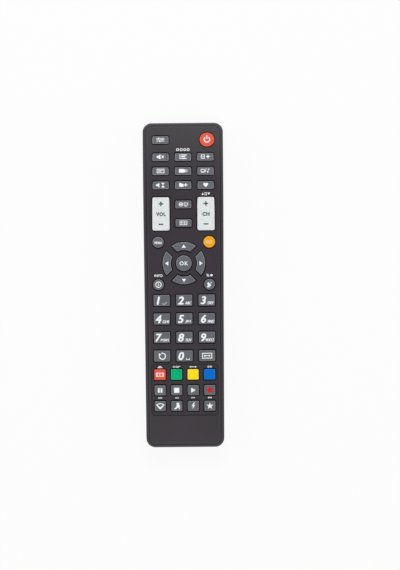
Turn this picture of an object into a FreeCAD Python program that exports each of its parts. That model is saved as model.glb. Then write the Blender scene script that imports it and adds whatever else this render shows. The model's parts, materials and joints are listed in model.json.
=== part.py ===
import FreeCAD, Part
import math
import os

import Sketcher
from FreeCAD import Rotation, Vector

# Hand-held remote control for a satellite receiver, in millimetres.
# X runs across the handset, Y along it towards the infra-red end, Z out of the key face.
# The origin is under the middle of the handset, on the plane that it rests on.

DRIVING_SIZES = [
    # Outer form
    ("body_length", 215.0, "tail end to infra-red end"),
    ("nose_width", 53.4, "width at the infra-red end"),
    ("tail_width", 51.4, "width at the battery end"),
    ("corner_radius", 6.0, "corners of the handset, seen from the front"),
    ("seam_height", 18.8, "height of the seam above the table, at the battery end"),
    ("sweep_angle", 2.7, "steepest rise of the face, in degrees"),
    ("face_rise", 3.4, "seam up to the key face"),
    ("side_wall", 4.2, "upright wall below the seam"),
    ("back_depth", 14.2, "seam down to the back, past the battery bay"),
    ("back_strip", 27.8, "width of the flat strip down the back"),
    ("wall", 2.0, "wall of the lower housing"),
    ("face_wall", 1.6, "wall of the key face"),
    ("seam_gap", 0.25, "shadow line between the two housings"),
    ("rim_width", 2.3, "bevel round the key face, measured across"),
    ("rim_drop", 1.3, "bevel round the key face, measured down"),
    ("lip_depth", 1.5, "lip of the upper housing inside the lower one"),
    ("lip_wall", 0.8, "thickness of that lip"),
    ("fit", 0.1, "clearance between parts that slide together"),
    ("nose_slope", 7.3, "slope of the back up to the infra-red end, along the handset"),
    ("nose_edge_drop", 5.0, "seam down to where that slope meets the end face"),
    ("tail_slope", 7.5, "slope of the back up to the battery end, along the handset"),
    ("tail_edge", 14.2, "height where that slope meets the end face"),
    ("ridge_radius", 1.2, "rounding of the edges of the back"),
    # Nose details
    ("rib_length", 22.0, "foot rib near the infra-red end"),
    ("rib_width", 2.0, "foot rib, along the handset"),
    ("rib_from_nose", 10.5, "foot rib from the infra-red end"),
    ("rib_groove", 0.9, "groove in front of the foot rib"),
    ("groove_depth", 0.4, "depth of that groove"),
    ("window_wide", 9.3, "infra-red opening at the end face"),
    ("window_narrow", 5.0, "infra-red opening where it stops"),
    ("window_length", 6.0, "infra-red opening, along the handset"),
    ("led_diameter", 5.0, "infra-red diode"),
    ("led_body", 5.6, "infra-red diode without its dome"),
    ("led_rim", 0.4, "rim at the back of the diode; it is twice as long"),
    ("led_drop", 2.1, "axis of the diode below the edge of the end face"),
    ("led_from_nose", 4.3, "tip of the diode from the infra-red end"),
    ("led_pitch", 2.54, "between the legs of the diode"),
    ("leg_thickness", 0.5, "legs of the diode"),
    # Battery bay and its door
    ("cell_diameter", 10.5, "AAA cell"),
    ("cell_can", 43.5, "AAA cell without its button"),
    ("cell_button", 1.0, "height of the button"),
    ("cell_button_diameter", 3.8, "button"),
    ("cell_gap", 0.3, "between the two cells and above the door"),
    ("spring_room", 5.3, "room for the spring at one end of each cell"),
    ("spring_base", 3.4, "radius of the spring at its plate"),
    ("spring_tip", 2.3, "radius of the spring at the cell"),
    ("spring_wire", 0.5, "wire of the spring"),
    ("spring_turns", 2.0, "turns of the spring"),
    ("plate_thickness", 0.4, "contact plates"),
    ("plate_width", 7.6, "contact plates"),
    ("plate_low", 3.0, "lower edge of the contact plates"),
    ("bay_wall", 1.8, "walls beside the cells"),
    ("bay_end_wall", 1.0, "walls behind the contact plates"),
    ("door_from_tail", 76.0, "upper edge of the door opening, from the battery end"),
    ("door_opening_length", 56.8, "door opening"),
    ("door_margin", 0.25, "flat strip of the back that shows beside the door opening"),
    ("door_gap", 0.17, "gap all round the door"),
    ("door_thickness", 1.5, "door"),
    ("door_corner", 3.0, "corners of the door"),
    ("tab_width", 4.0, "hooks at the top of the door"),
    ("tab_place", 7.5, "hooks from the middle"),
    ("tab_reach", 1.6, "how far the hooks reach under the housing"),
    ("tab_thickness", 0.9, "hooks"),
    ("tab_rise", 0.6, "hooks above the wall that they reach over"),
    ("tab_room", 0.3, "beside each hook"),
    ("tab_swing", 1.0, "above each hook, for the door to swing"),
    # Latch, scoop
    ("slot_width", 14.1, "slot in front of the latch"),
    ("slot_length", 3.4, "slot in front of the latch, along the handset"),
    ("latch_width", 7.5, "latch tab"),
    ("latch_length", 3.5, "latch tab, along the handset"),
    ("latch_arm", 1.0, "spring arm of the latch"),
    ("latch_bend_height", 6.0, "centre of the bend of the latch arm"),
    ("latch_gap", 0.25, "gap round the latch tab"),
    ("grip_pitch", 1.0, "grip ribs on the latch tab"),
    ("grip_depth", 0.4, "grooves between the grip ribs"),
    ("scoop_width", 14.6, "thumb scoop behind the latch"),
    ("scoop_depth", 1.6, "thumb scoop"),
    # Circuit board and key mat
    ("board_underside", 13.3, "circuit board above the table"),
    ("board_thickness", 1.0, "circuit board"),
    ("board_side_gap", 5.7, "circuit board from the sides of the battery end"),
    ("board_from_nose", 7.0, "circuit board from the infra-red end"),
    ("board_from_tail", 9.5, "circuit board from the battery end"),
    ("mat_thickness", 0.4, "silicone mat"),
    ("mat_margin", 0.8, "board that shows round the mat"),
    ("post_diameter", 4.0, "posts that carry the board"),
    ("pin_diameter", 2.0, "pins through the board"),
    ("post_from_edge", 2.6, "posts from the sides of the board"),
    ("post_from_nose", 16.7, "upper posts from the infra-red end"),
    # Keys
    ("key_proud", 1.0, "keys above the key face"),
    ("key_gap", 0.6, "gap round each key"),
    ("key_travel", 0.7, "how far a key goes down"),
    ("key_bevel", 0.4, "bevel round the top of a key"),
    ("key_corner", 0.7, "corners of a key, seen from above"),
    ("flange_width", 0.8, "rim that keeps a key in, beyond its hole"),
    ("flange_thickness", 0.5, "that rim"),
    ("rocker_lift", 0.75, "room for a rocker's rim to lift"),
    ("function_depth", 5.2, "small keys, along the handset"),
    ("power_diameter", 9.5, "power key"),
    ("rocker_corner", 1.2, "corners of a rocker"),
    ("round_diameter", 7.3, "round keys"),
    ("bright_diameter", 7.7, "orange round key"),
    ("ok_diameter", 10.4, "middle key of the arrow pad"),
    ("pad_outer", 13.95, "outer radius of the arrow keys"),
    ("pad_inner", 8.65, "inner radius of the arrow keys"),
    ("pad_cut", 2.35, "half the gap between two arrow keys"),
    ("number_depth", 7.5, "number keys, along the handset"),
    ("panel_depth", 0.3, "sunk panel"),
    ("panel_corner", 2.0, "corners of the sunk panel"),
]

doc = FreeCAD.newDocument("remote_control")
sheet = doc.addObject("Spreadsheet::Sheet", "Sizes")


class Sizes:
    """The cells of the sheet, read by their aliases."""

    def __getattr__(self, alias):
        return float(sheet.get(alias))


size = Sizes()


def enter(rows, first_row):
    """Writes sizes into the sheet, one to a row."""
    for row, (alias, value, meaning) in enumerate(rows, start=first_row):
        sheet.set(f"A{row}", meaning)
        sheet.set(f"B{row}", str(round(value, 4)))
        sheet.setAlias(f"B{row}", alias)
    doc.recompute()
    return first_row + len(rows)


next_row = enter(DRIVING_SIZES, 1)

# Places and pitches that follow the ends and the width; places are from the middle of the handset.
TIED_PLACES = [
    # Outer form, circuit board
    ("sweep_start", -0.0186 * size.body_length, "where the face starts to rise"),
    ("sweep_radius", 3.163 * size.body_length, "hollow part of the seam, seen from the side"),
    ("crown_radius", 1.479 * size.body_length, "crowned part of the seam, seen from the side"),
    ("nose_ridge", size.body_length / 2 - size.nose_slope, "where the back turns up to the infra-red end"),
    ("tail_ridge", size.body_length / 2 - size.tail_slope, "where the back turns up to the battery end"),
    ("rib_place", size.body_length / 2 - size.rib_from_nose, "foot rib"),
    ("led_tip", size.body_length / 2 - size.led_from_nose, "tip of the diode"),
    ("door_top", size.door_from_tail - size.body_length / 2, "upper edge of the door opening"),
    ("door_opening_width", size.back_strip - 2 * size.door_margin, "door opening"),
    ("board_nose", size.body_length / 2 - size.board_from_nose, "upper end of the circuit board"),
    ("board_tail", size.board_from_tail - size.body_length / 2, "lower end of the circuit board"),
    ("board_width", size.tail_width - 2 * size.board_side_gap, "circuit board"),
    ("post_nose", size.body_length / 2 - size.post_from_nose, "upper posts"),
    ("post_middle", 0.0163 * size.body_length, "lower posts"),
    # Columns of keys
    ("column_pitch", 0.2772 * size.nose_width, "three columns of keys"),
    ("power_column", 0.2987 * size.nose_width, "power key"),
    ("round_column", 0.3146 * size.nose_width, "round keys"),
    ("small_pitch", 0.212 * size.tail_width, "four columns of square keys"),
    ("panel_width", 0.8541 * size.tail_width, "sunk panel round the square keys"),
    # Rows of keys
    ("top_row", 0.4452 * size.body_length, "row of the power key"),
    ("function_row", 0.3915 * size.body_length, "first full row of small keys"),
    ("function_pitch", 0.0437 * size.body_length, "rows of small keys"),
    ("rocker_row", 0.2163 * size.body_length, "rockers"),
    ("rocker_depth", 0.1028 * size.body_length, "rockers, along the handset"),
    ("between_spacing", 0.057 * size.body_length, "two small keys between the rockers"),
    ("pad_centre", 0.0644 * size.body_length, "middle of the arrow pad"),
    ("round_offset", 0.0646 * size.body_length, "round keys above and below that middle"),
    ("number_row", -0.0486 * size.body_length, "first row of number keys"),
    ("number_pitch", 0.05675 * size.body_length, "rows of number keys"),
    ("colour_row", -0.2758 * size.body_length, "colour keys"),
    ("small_row_pitch", 0.0482 * size.body_length, "rows below the colour keys"),
    ("panel_top", -0.2447 * size.body_length, "sunk panel"),
    ("panel_bottom", -0.4014 * size.body_length, "sunk panel"),
]
next_row = enter(TIED_PLACES, next_row)

# Sizes that follow those pitches.
TIED_SIZES = [
    ("post_column", size.board_width / 2 - size.post_from_edge, "posts from the middle line"),
    ("function_width", size.column_pitch - 4.2, "small keys"),
    ("rocker_width", size.column_pitch - 3.5, "rockers"),
    ("number_width", size.column_pitch - 4.0, "number keys"),
    ("colour_width", size.small_pitch - 3.3, "colour keys"),
    ("small_width", size.small_pitch - 3.45, "square keys"),
    ("colour_depth", size.small_row_pitch - 3.15, "colour keys, along the handset"),
    ("small_depth", size.small_row_pitch - 3.5, "square keys, along the handset"),
]
enter(TIED_SIZES, next_row)

parts = []

UP = Vector(0, 0, 1)
ACROSS = Vector(1, 0, 0)
ALONG = Vector(0, 1, 0)
PAST = 6.0  # how far a cutting form reaches past what it cuts
SAME_PLACE = 1e-6
REPAIR_LIMITS = (1e-4, 1e-4, 1e-3)  # how far a repair may move the edges of a rounded solid
LEAST_TURN = math.radians(12)  # edges of the back that turn by less stay as they are


def add_feature(name, shape):
    """A document object that holds a computed shape."""
    feature = doc.addObject("Part::Feature", name)
    feature.Shape = shape
    feature.Placement = FreeCAD.Placement()
    return feature


def keep(feature, label):
    """Marks a finished sub-part; its label names its file."""
    feature.Label = label
    parts.append(feature)
    return feature


def box(x_low, x_high, y_low, y_high, z_low, z_high):
    """A block given by its two ends along each axis."""
    corner = Vector(x_low, y_low, z_low)
    return Part.makeBox(x_high - x_low, y_high - y_low, z_high - z_low, corner)


# The seam, and the layers above and below it, seen from the side.

HALF_LENGTH = size.body_length / 2
SWEEP_ANGLE = math.radians(size.sweep_angle)
SWEEP_CENTRE = Vector(0, size.sweep_start, size.seam_height + size.sweep_radius)
CROWN_START = SWEEP_CENTRE + size.sweep_radius * Vector(0, math.sin(SWEEP_ANGLE), -math.cos(SWEEP_ANGLE))
CROWN_CENTRE = CROWN_START + size.crown_radius * Vector(0, math.sin(SWEEP_ANGLE), -math.cos(SWEEP_ANGLE))


def crown_start(offset):
    """Where the hollow part of a layer turns into the crowned part."""
    return SWEEP_CENTRE.y + (size.sweep_radius - offset) * math.sin(SWEEP_ANGLE)


def layer_point(y, offset):
    """The point at y of the layer that lies offset above the seam."""
    if y <= size.sweep_start:
        height = size.seam_height + offset
    elif y <= crown_start(offset):
        height = SWEEP_CENTRE.z - math.sqrt((size.sweep_radius - offset) ** 2 - (y - SWEEP_CENTRE.y) ** 2)
    else:
        height = CROWN_CENTRE.z + math.sqrt((size.crown_radius + offset) ** 2 - (y - CROWN_CENTRE.y) ** 2)
    return Vector(0, y, height)


def layer_edges(offset, y_low, y_high):
    """A layer as a line, a hollow arc and a crowned arc, from y_low to y_high."""
    stops = [y for y in (size.sweep_start, crown_start(offset)) if y_low < y < y_high]
    stops = [y_low] + stops + [y_high]
    edges = []
    for start, end in zip(stops, stops[1:]):
        first = layer_point(start, offset)
        last = layer_point(end, offset)
        if end <= size.sweep_start:
            edges.append(Part.LineSegment(first, last).toShape())
        else:
            middle = layer_point((start + end) / 2, offset)
            edges.append(Part.Arc(first, middle, last).toShape())
    return edges


def line(first, last):
    return Part.LineSegment(first, last).toShape()


def side_face(edges):
    """A face in the side view, from edges in any order."""
    return Part.Face(Part.Wire(Part.__sortEdges__(edges)))


def across(face):
    """A side view's face, carried through the whole width of the handset."""
    reach = size.nose_width / 2 + PAST
    return face.translated(-reach * ACROSS).extrude(2 * reach * ACROSS)


def slab(low, high):
    """Everything between two layers."""
    end = HALF_LENGTH + PAST
    edges = layer_edges(low, -end, end) + layer_edges(high, -end, end)
    for y in (-end, end):
        edges.append(line(layer_point(y, low), layer_point(y, high)))
    return across(side_face(edges))


def half_width(y):
    """Half the width of the handset at y."""
    share = (y + HALF_LENGTH) / size.body_length
    return (size.tail_width + share * (size.nose_width - size.tail_width)) / 2


def plan_prism(inset):
    """The outline seen from the front, drawn in by inset, as a tall prism."""
    end = HALF_LENGTH - inset
    tail = half_width(-HALF_LENGTH) - inset
    nose = half_width(HALF_LENGTH) - inset
    low = -PAST
    corners = [(-tail, -end), (tail, -end), (nose, end), (-nose, end), (-tail, -end)]
    outline = Part.makePolygon([Vector(x, y, low) for x, y in corners])
    prism = Part.Face(outline).extrude((size.seam_height + size.face_rise + 2 * PAST) * UP)
    uprights = [edge for edge in prism.Edges if abs(edge.Vertexes[0].Z - edge.Vertexes[1].Z) > PAST]
    return prism.makeFillet(size.corner_radius - inset, uprights)


# Places along the handset that several parts share.
DOOR_TAIL = size.door_top - size.door_opening_length
SLOT_TAIL = DOOR_TAIL - size.slot_length
LATCH_TAIL = SLOT_TAIL - size.latch_length
BOARD_TOP = size.board_underside + size.board_thickness
MAT_TOP = BOARD_TOP + size.mat_thickness
KEY_BASE = MAT_TOP + size.key_travel + size.fit
CELL_RADIUS = size.cell_diameter / 2
CELL_AXIS_X = CELL_RADIUS + size.cell_gap / 2
CELL_AXIS_Z = size.door_thickness + size.fit + size.cell_gap + CELL_RADIUS
CELL_LENGTH = size.cell_can + size.cell_button
BAY_HALF_WIDTH = CELL_AXIS_X + CELL_RADIUS + 2 * size.cell_gap
BAY_CEILING = CELL_AXIS_Z + CELL_RADIUS + size.cell_gap
TAB_POCKET = size.tab_thickness + size.fit
TAB_LOW = size.wall + size.tab_rise
TAB_HIGH = TAB_LOW + size.tab_thickness
LEG_HALF = 1.0  # half the width of a contact plate's leg
BAY_TOP = size.door_top - 2 * TAB_POCKET - size.bay_end_wall
BAY_TAIL = BAY_TOP - 2 * size.plate_thickness - CELL_LENGTH - size.spring_room
POSTS = [(side * size.post_column, y) for side in (-1, 1) for y in (size.post_nose, size.post_middle)]
LED_BACK = size.led_tip - size.led_diameter / 2 - size.led_body
RAMP_FOOT = size.door_top
NOSE_EDGE = layer_point(HALF_LENGTH, 0).z - size.nose_edge_drop
LED_HEIGHT = NOSE_EDGE - size.led_drop
OVERLAP = 1.0  # how far two cuts reach into each other where they meet


# The lower housing.


def back_height(y):
    """Height of the back strip at y: flat, then a ramp, then a layer."""
    ramp_top = layer_point(size.sweep_start, -size.back_depth).z
    if y <= RAMP_FOOT:
        return 0.0
    if y <= size.sweep_start:
        return ramp_top * (y - RAMP_FOOT) / (size.sweep_start - RAMP_FOOT)
    return layer_point(y, -size.back_depth).z


def moved_in(first, last, inset):
    """A straight edge of the side view, moved into the housing: a point and a direction."""
    along = (last - first).normalize()
    return first + inset * Vector(0, along.z, -along.y), along


def meeting(edge, other):
    """Where two straight edges of the side view cross."""
    point, along = edge
    target, direction = other
    apart = target - point
    cross = along.y * direction.z - along.z * direction.y
    return point + (apart.y * direction.z - apart.z * direction.y) / cross * along


def meeting_crown(edge, offset):
    """Where a straight edge of the side view first crosses the crowned part of a layer."""
    point, along = edge
    apart = point - CROWN_CENTRE
    half = apart.dot(along)
    radius = size.crown_radius + offset
    return point + (-half - math.sqrt(half ** 2 - apart.dot(apart) + radius ** 2)) * along


def lower_side_face(inset, top):
    """The side view of the lower housing, drawn in by inset, up to the layer called top."""
    offset = inset - size.back_depth
    nose_edge = Vector(0, HALF_LENGTH, NOSE_EDGE)
    nose_foot = layer_point(size.nose_ridge, -size.back_depth)
    ramp_top = layer_point(size.sweep_start, -size.back_depth)
    ramp_foot = Vector(0, RAMP_FOOT, 0)
    tail_foot = Vector(0, -size.tail_ridge, 0)
    tail_edge = Vector(0, -HALF_LENGTH, size.tail_edge)
    nose_end = moved_in(nose_edge + UP, nose_edge, inset)
    nose_slope = moved_in(nose_edge, nose_foot, inset)
    flat = (layer_point(size.sweep_start, offset), ALONG)
    ramp = moved_in(ramp_top, ramp_foot, inset)
    floor = moved_in(ramp_foot, tail_foot, inset)
    tail_slope = moved_in(tail_foot, tail_edge, inset)
    tail_end = moved_in(tail_edge, tail_edge + UP, inset)
    nose_y = HALF_LENGTH - inset
    ridge = meeting_crown(nose_slope, offset)
    first = [layer_point(nose_y, top), meeting(nose_end, nose_slope), ridge]
    rest = [flat[0], meeting(flat, ramp), meeting(ramp, floor), meeting(floor, tail_slope)]
    rest += [meeting(tail_slope, tail_end), layer_point(-nose_y, top)]
    edges = []
    for chain in (first, rest):
        for start, end in zip(chain, chain[1:]):
            if start.distanceToPoint(end) > SAME_PLACE:
                edges.append(line(start, end))
    edges += layer_edges(offset, size.sweep_start, ridge.y)
    edges += layer_edges(top, -nose_y, nose_y)
    return side_face(edges)


def slope_section(y, inset):
    """The cross-section at y with its two sloping sides, drawn in by inset."""
    half = half_width(y)
    foot = Vector(size.back_strip / 2, y, back_height(y))
    hip = Vector(half, y, layer_point(y, -size.side_wall).z)
    slope = (hip - foot).normalize()
    foot = foot + inset * Vector(-slope.z, 0, slope.x)
    low = foot - PAST * slope
    high = foot + (half + PAST - foot.x) / slope.x * slope
    top = size.seam_height + size.face_rise + 2 * PAST
    right = [low, high, Vector(high.x, y, top)]
    left = [Vector(-point.x, y, point.z) for point in reversed(right)]
    return Part.makePolygon(right + left + [low])


def slope_form(inset):
    """The form that gives the back its sloping sides."""
    end = HALF_LENGTH + PAST
    steps = 9
    crowned = [size.sweep_start + (end - size.sweep_start) * step / steps for step in range(steps + 1)]
    spans = [([-end, RAMP_FOOT], True), ([RAMP_FOOT, size.sweep_start], True), (crowned, False)]
    lofts = []
    for stations, ruled in spans:
        sections = [slope_section(y, inset) for y in stations]
        lofts.append(Part.makeLoft(sections, True, ruled))
    return lofts[0].fuse(lofts[1:])


def lower_form(inset, top):
    """The lower housing as a solid, drawn in by inset, up to the layer called top."""
    return across(lower_side_face(inset, top)).common(plan_prism(inset)).common(slope_form(inset))


def soft_edges(shape):
    """The edges of the back, where two faces below the seam meet at an angle. Short edges
    come first, because rounding them in another order gives faces that cross."""
    found = []
    for edge in shape.Edges:
        middle = edge.valueAt((edge.FirstParameter + edge.LastParameter) / 2)
        if layer_point(middle.y, -size.seam_gap / 2).z - middle.z < size.ridge_radius:
            continue
        normals = []
        for face in shape.ancestorsOfType(edge, Part.Face):
            normals.append(face.normalAt(*face.Surface.parameter(middle)))
        if normals[0].dot(normals[1]) < math.cos(LEAST_TURN):
            found.append(edge)
    return sorted(found, key=lambda edge: edge.Length)


def thumb_scoop(deeper):
    """A round trough that runs from the latch out over the battery end."""
    half = size.scoop_width / 2
    radius = (half ** 2 + size.scoop_depth ** 2) / (2 * size.scoop_depth)
    start = LATCH_TAIL - size.latch_gap
    axis = Vector(0, start, size.scoop_depth - radius)
    return Part.makeCylinder(radius + deeper, HALF_LENGTH + PAST + start, axis, -ALONG)


def battery_bay_walls():
    """The block of walls and ceiling round the cells, before its room is cut out."""
    half = BAY_HALF_WIDTH + size.bay_wall
    low = DOOR_TAIL - size.door_gap - size.bay_end_wall
    return box(-half, half, low, BAY_TOP + size.bay_end_wall, 0, size.board_underside)


def lower_housing():
    outer = lower_form(0, -size.seam_gap / 2)
    outer = outer.makeFillet(size.ridge_radius, soft_edges(outer))
    shell = outer.cut(lower_form(size.wall, size.face_rise + PAST))
    solids = [battery_bay_walls()]
    for x, y in POSTS:
        foot = Vector(x, y, 0)
        solids.append(Part.makeCylinder(size.post_diameter / 2, size.board_underside, foot))
        solids.append(Part.makeCylinder(size.pin_diameter / 2, BOARD_TOP, foot))
    solids.append(thumb_scoop(size.wall))
    backing = solids[0].fuse(solids[1:]).common(outer)
    shell = shell.fuse(backing)
    half = size.door_opening_width / 2
    latch_half = size.latch_width / 2 + size.latch_gap
    slot_half = size.slot_width / 2
    inside = size.bay_end_wall + size.latch_arm
    diode_seat = Vector(0, LED_BACK + 2 * (size.led_rim + size.fit), LED_HEIGHT)
    door_room = box(-half, half, DOOR_TAIL, size.door_top, -PAST, size.door_thickness + size.fit)
    uprights = [edge for edge in door_room.Edges if abs(edge.tangentAt(0).z) > 0.5]
    cuts = [
        door_room.makeFillet(size.door_corner, uprights),
        box(-BAY_HALF_WIDTH, BAY_HALF_WIDTH, BAY_TAIL, BAY_TOP, -PAST, BAY_CEILING),
        box(-slot_half, slot_half, SLOT_TAIL, DOOR_TAIL + inside, -PAST, BAY_CEILING),
        box(-latch_half, latch_half, LATCH_TAIL - size.latch_gap, SLOT_TAIL, -PAST, BAY_CEILING),
        thumb_scoop(0),
        infra_red_opening(),
        foot_groove(),
        Part.makeCylinder(size.led_diameter / 2 + size.fit, PAST * 2, diode_seat, ALONG),
    ]
    leg_half = LEG_HALF + size.fit
    for x in (-CELL_AXIS_X, CELL_AXIS_X):
        cuts.append(box(x - leg_half, x + leg_half, BAY_TOP - size.plate_thickness - size.fit, BAY_TOP,
                        BAY_CEILING - OVERLAP, size.board_underside + OVERLAP))
    tab_half = size.tab_width / 2 + size.tab_room
    tab_ceiling = TAB_HIGH + size.tab_swing
    tab_front = size.door_top + size.tab_reach + size.bay_end_wall
    for side in (-1, 1):
        x = side * size.tab_place
        cuts.append(box(x - tab_half, x + tab_half, BAY_TOP - OVERLAP, size.door_top, -PAST, tab_ceiling))
        cuts.append(box(x - tab_half, x + tab_half, size.door_top - OVERLAP, tab_front,
                        size.wall, tab_ceiling))
    shell = shell.cut(cuts)
    rib = box(-size.rib_length / 2, size.rib_length / 2, size.rib_place - size.rib_width / 2,
              size.rib_place + size.rib_width / 2, 0, back_height(size.rib_place) + size.wall / 2)
    whole = shell.fuse(rib).removeSplitter()
    whole.fix(*REPAIR_LIMITS)
    return whole


def infra_red_opening():
    """A tapering opening in the slope of the infra-red end."""
    end = HALF_LENGTH + PAST
    stop = HALF_LENGTH - size.window_length
    wide = size.window_wide / 2
    narrow = size.window_narrow / 2
    left = [(-wide, end), (-wide, HALF_LENGTH), (-narrow, stop)]
    corners = left + [(-x, y) for x, y in reversed(left)]
    outline = [Vector(x, y, -PAST) for x, y in corners + corners[:1]]
    return Part.Face(Part.makePolygon(outline)).extrude((NOSE_EDGE + PAST) * UP)


def foot_groove():
    """The groove between the foot rib and the slope of the infra-red end."""
    low = size.rib_place + size.rib_width / 2
    half = size.rib_length / 2
    floor = back_height(size.rib_place) + size.groove_depth
    return box(-half, half, low, low + size.rib_groove, -PAST, floor)


# Key outlines, drawn as sketches about each key's own middle.


def cell(alias):
    return f"Sizes.{alias}"


def place(sketch, x, y):
    """Puts a key's sketch at its place; x and y are expressions."""
    sketch.setExpression("Placement.Base.x", x)
    sketch.setExpression("Placement.Base.y", y)
    sketch.Placement.Base.z = KEY_BASE


def rounded_rectangle(sketch, width, depth, corner):
    """Four sides and four corners, held by their width, depth and corner radius."""
    x = getattr(size, width) / 2
    y = getattr(size, depth) / 2
    radius = getattr(size, corner)
    sides = [
        ((radius - x, -y), (x - radius, -y)),
        ((x, radius - y), (x, y - radius)),
        ((x - radius, y), (radius - x, y)),
        ((-x, y - radius), (-x, radius - y)),
    ]
    centres = [
        (x - radius, radius - y),
        (x - radius, y - radius),
        (radius - x, y - radius),
        (radius - x, radius - y),
    ]
    for quarter, (side, centre) in enumerate(zip(sides, centres)):
        start, end = (Vector(*point, 0) for point in side)
        sketch.addGeometry(Part.LineSegment(start, end))
        circle = Part.Circle(Vector(*centre, 0), UP, radius)
        turn = math.pi / 2
        sketch.addGeometry(Part.ArcOfCircle(circle, (quarter - 1) * turn, quarter * turn))
    for number in range(8):
        sketch.addConstraint(Sketcher.Constraint("Tangent", number, 2, (number + 1) % 8, 1))
    for number, kind in ((0, "Horizontal"), (2, "Vertical"), (4, "Horizontal"), (6, "Vertical")):
        sketch.addConstraint(Sketcher.Constraint(kind, number))
    for number in (3, 5, 7):
        sketch.addConstraint(Sketcher.Constraint("Equal", 1, number))
    sketch.addConstraint(Sketcher.Constraint("Symmetric", 0, 1, 4, 1, -1, 1))
    held = (
        ("width", Sketcher.Constraint("DistanceX", 6, 1, 2, 1, 2 * x), width),
        ("depth", Sketcher.Constraint("DistanceY", 0, 1, 4, 1, 2 * y), depth),
        ("corner", Sketcher.Constraint("Radius", 1, radius), corner),
    )
    for name, constraint, alias in held:
        index = sketch.addConstraint(constraint)
        sketch.renameConstraint(index, name)
        sketch.setExpression(f"Constraints.{name}", cell(alias))


def round_outline(sketch, diameter):
    """One circle, held by its diameter."""
    sketch.addGeometry(Part.Circle(Vector(), UP, getattr(size, diameter) / 2))
    sketch.addConstraint(Sketcher.Constraint("Coincident", 0, 3, -1, 1))
    index = sketch.addConstraint(Sketcher.Constraint("Diameter", 0, getattr(size, diameter)))
    sketch.renameConstraint(index, "diameter")
    sketch.setExpression("Constraints.diameter", cell(diameter))


def arrow_outline(sketch, direction):
    """A quarter of the arrow ring; its ends are cut along the diagonals."""
    def corner(radius, side):
        angle = direction + side * (math.pi / 4 - math.asin(size.pad_cut / radius))
        return angle, radius * Vector(math.cos(angle), math.sin(angle), 0)

    rings = []
    for radius in (size.pad_outer, size.pad_inner):
        low, first = corner(radius, -1)
        high, last = corner(radius, 1)
        circle = Part.Circle(Vector(), UP, radius)
        sketch.addGeometry(Part.ArcOfCircle(circle, low, high))
        rings.append((first, last))
    (outer_first, outer_last), (inner_first, inner_last) = rings
    sketch.addGeometry(Part.LineSegment(outer_last, inner_last))
    sketch.addGeometry(Part.LineSegment(inner_first, outer_first))
    for first, first_end, second, second_end in ((0, 2, 2, 1), (2, 2, 1, 2), (1, 1, 3, 1), (3, 2, 0, 1)):
        sketch.addConstraint(Sketcher.Constraint("Coincident", first, first_end, second, second_end))
    for number, name, alias in ((0, "outer", "pad_outer"), (1, "inner", "pad_inner")):
        sketch.addConstraint(Sketcher.Constraint("Coincident", number, 3, -1, 1))
        index = sketch.addConstraint(Sketcher.Constraint("Radius", number, getattr(size, alias)))
        sketch.renameConstraint(index, name)
        sketch.setExpression(f"Constraints.{name}", cell(alias))


def key_sketches():
    """Every key's name with its sketch; a rocker's name says what it is."""
    sketches = {}

    def new(name, x, y, draw, *args):
        sketch = doc.addObject("Sketcher::SketchObject", f"outline_of_{name}")
        draw(sketch, *args)
        place(sketch, x, y)
        sketches[name] = sketch

    function = (rounded_rectangle, "function_width", "function_depth", "key_corner")
    new("option_key", "-Sizes.column_pitch", "Sizes.top_row", *function)
    new("power_key", "Sizes.power_column", "Sizes.top_row", round_outline, "power_diameter")
    for row, letter in enumerate("abc"):
        for column in range(3):
            x = f"{column - 1} * Sizes.column_pitch"
            y = f"Sizes.function_row - {row} * Sizes.function_pitch"
            name = "mute_key" if (letter, column) == ("a", 0) else f"function_key_{letter}{column + 1}"
            new(name, x, y, *function)
    rocker = (rounded_rectangle, "rocker_width", "rocker_depth", "rocker_corner")
    new("volume_rocker", "-Sizes.column_pitch", "Sizes.rocker_row", *rocker)
    new("channel_rocker", "Sizes.column_pitch", "Sizes.rocker_row", *rocker)
    new("network_key", "0", "Sizes.rocker_row + Sizes.between_spacing / 2", *function)
    new("guide_key", "0", "Sizes.rocker_row - Sizes.between_spacing / 2", *function)
    upper = "Sizes.pad_centre + Sizes.round_offset"
    lower = "Sizes.pad_centre - Sizes.round_offset"
    new("menu_key", "-Sizes.round_column", upper, round_outline, "round_diameter")
    new("exit_key", "Sizes.round_column", upper, round_outline, "bright_diameter")
    new("info_key", "-Sizes.round_column", lower, round_outline, "round_diameter")
    new("satellite_key", "Sizes.round_column", lower, round_outline, "round_diameter")
    new("ok_key", "0", "Sizes.pad_centre", round_outline, "ok_diameter")
    for quarter, name in enumerate(("right_key", "up_key", "left_key", "down_key")):
        new(name, "0", "Sizes.pad_centre", arrow_outline, quarter * math.pi / 2)
    bottom_row = ("recall_key", "number_key_0", "format_key")
    names = [f"number_key_{digit}" for digit in range(1, 10)] + list(bottom_row)
    for index, name in enumerate(names):
        x = f"{index % 3 - 1} * Sizes.column_pitch"
        y = f"Sizes.number_row - {index // 3} * Sizes.number_pitch"
        new(name, x, y, rounded_rectangle, "number_width", "number_depth", "key_corner")
    colours = ("red_key", "green_key", "yellow_key", "blue_key")
    media = ("pause_key", "stop_key", "play_key", "record_key")
    shortcuts = tuple(f"shortcut_key_{number}" for number in range(1, 5))
    for row, row_names in enumerate((colours, media, shortcuts)):
        outline = ("colour_width", "colour_depth") if row == 0 else ("small_width", "small_depth")
        for column, name in enumerate(row_names):
            x = f"{column - 1.5} * Sizes.small_pitch"
            y = f"Sizes.colour_row - {row} * Sizes.small_row_pitch"
            new(name, x, y, rounded_rectangle, *outline, "key_corner")
    return sketches


def raised(name, outline):
    """An outline carried up from the base of the keys, past the key face."""
    column = doc.addObject("Part::Extrusion", name)
    column.Base = outline
    column.DirMode = "Custom"
    column.Dir = UP
    column.LengthFwd = size.seam_height + size.face_rise + PAST - KEY_BASE
    column.Solid = True
    return column


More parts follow.
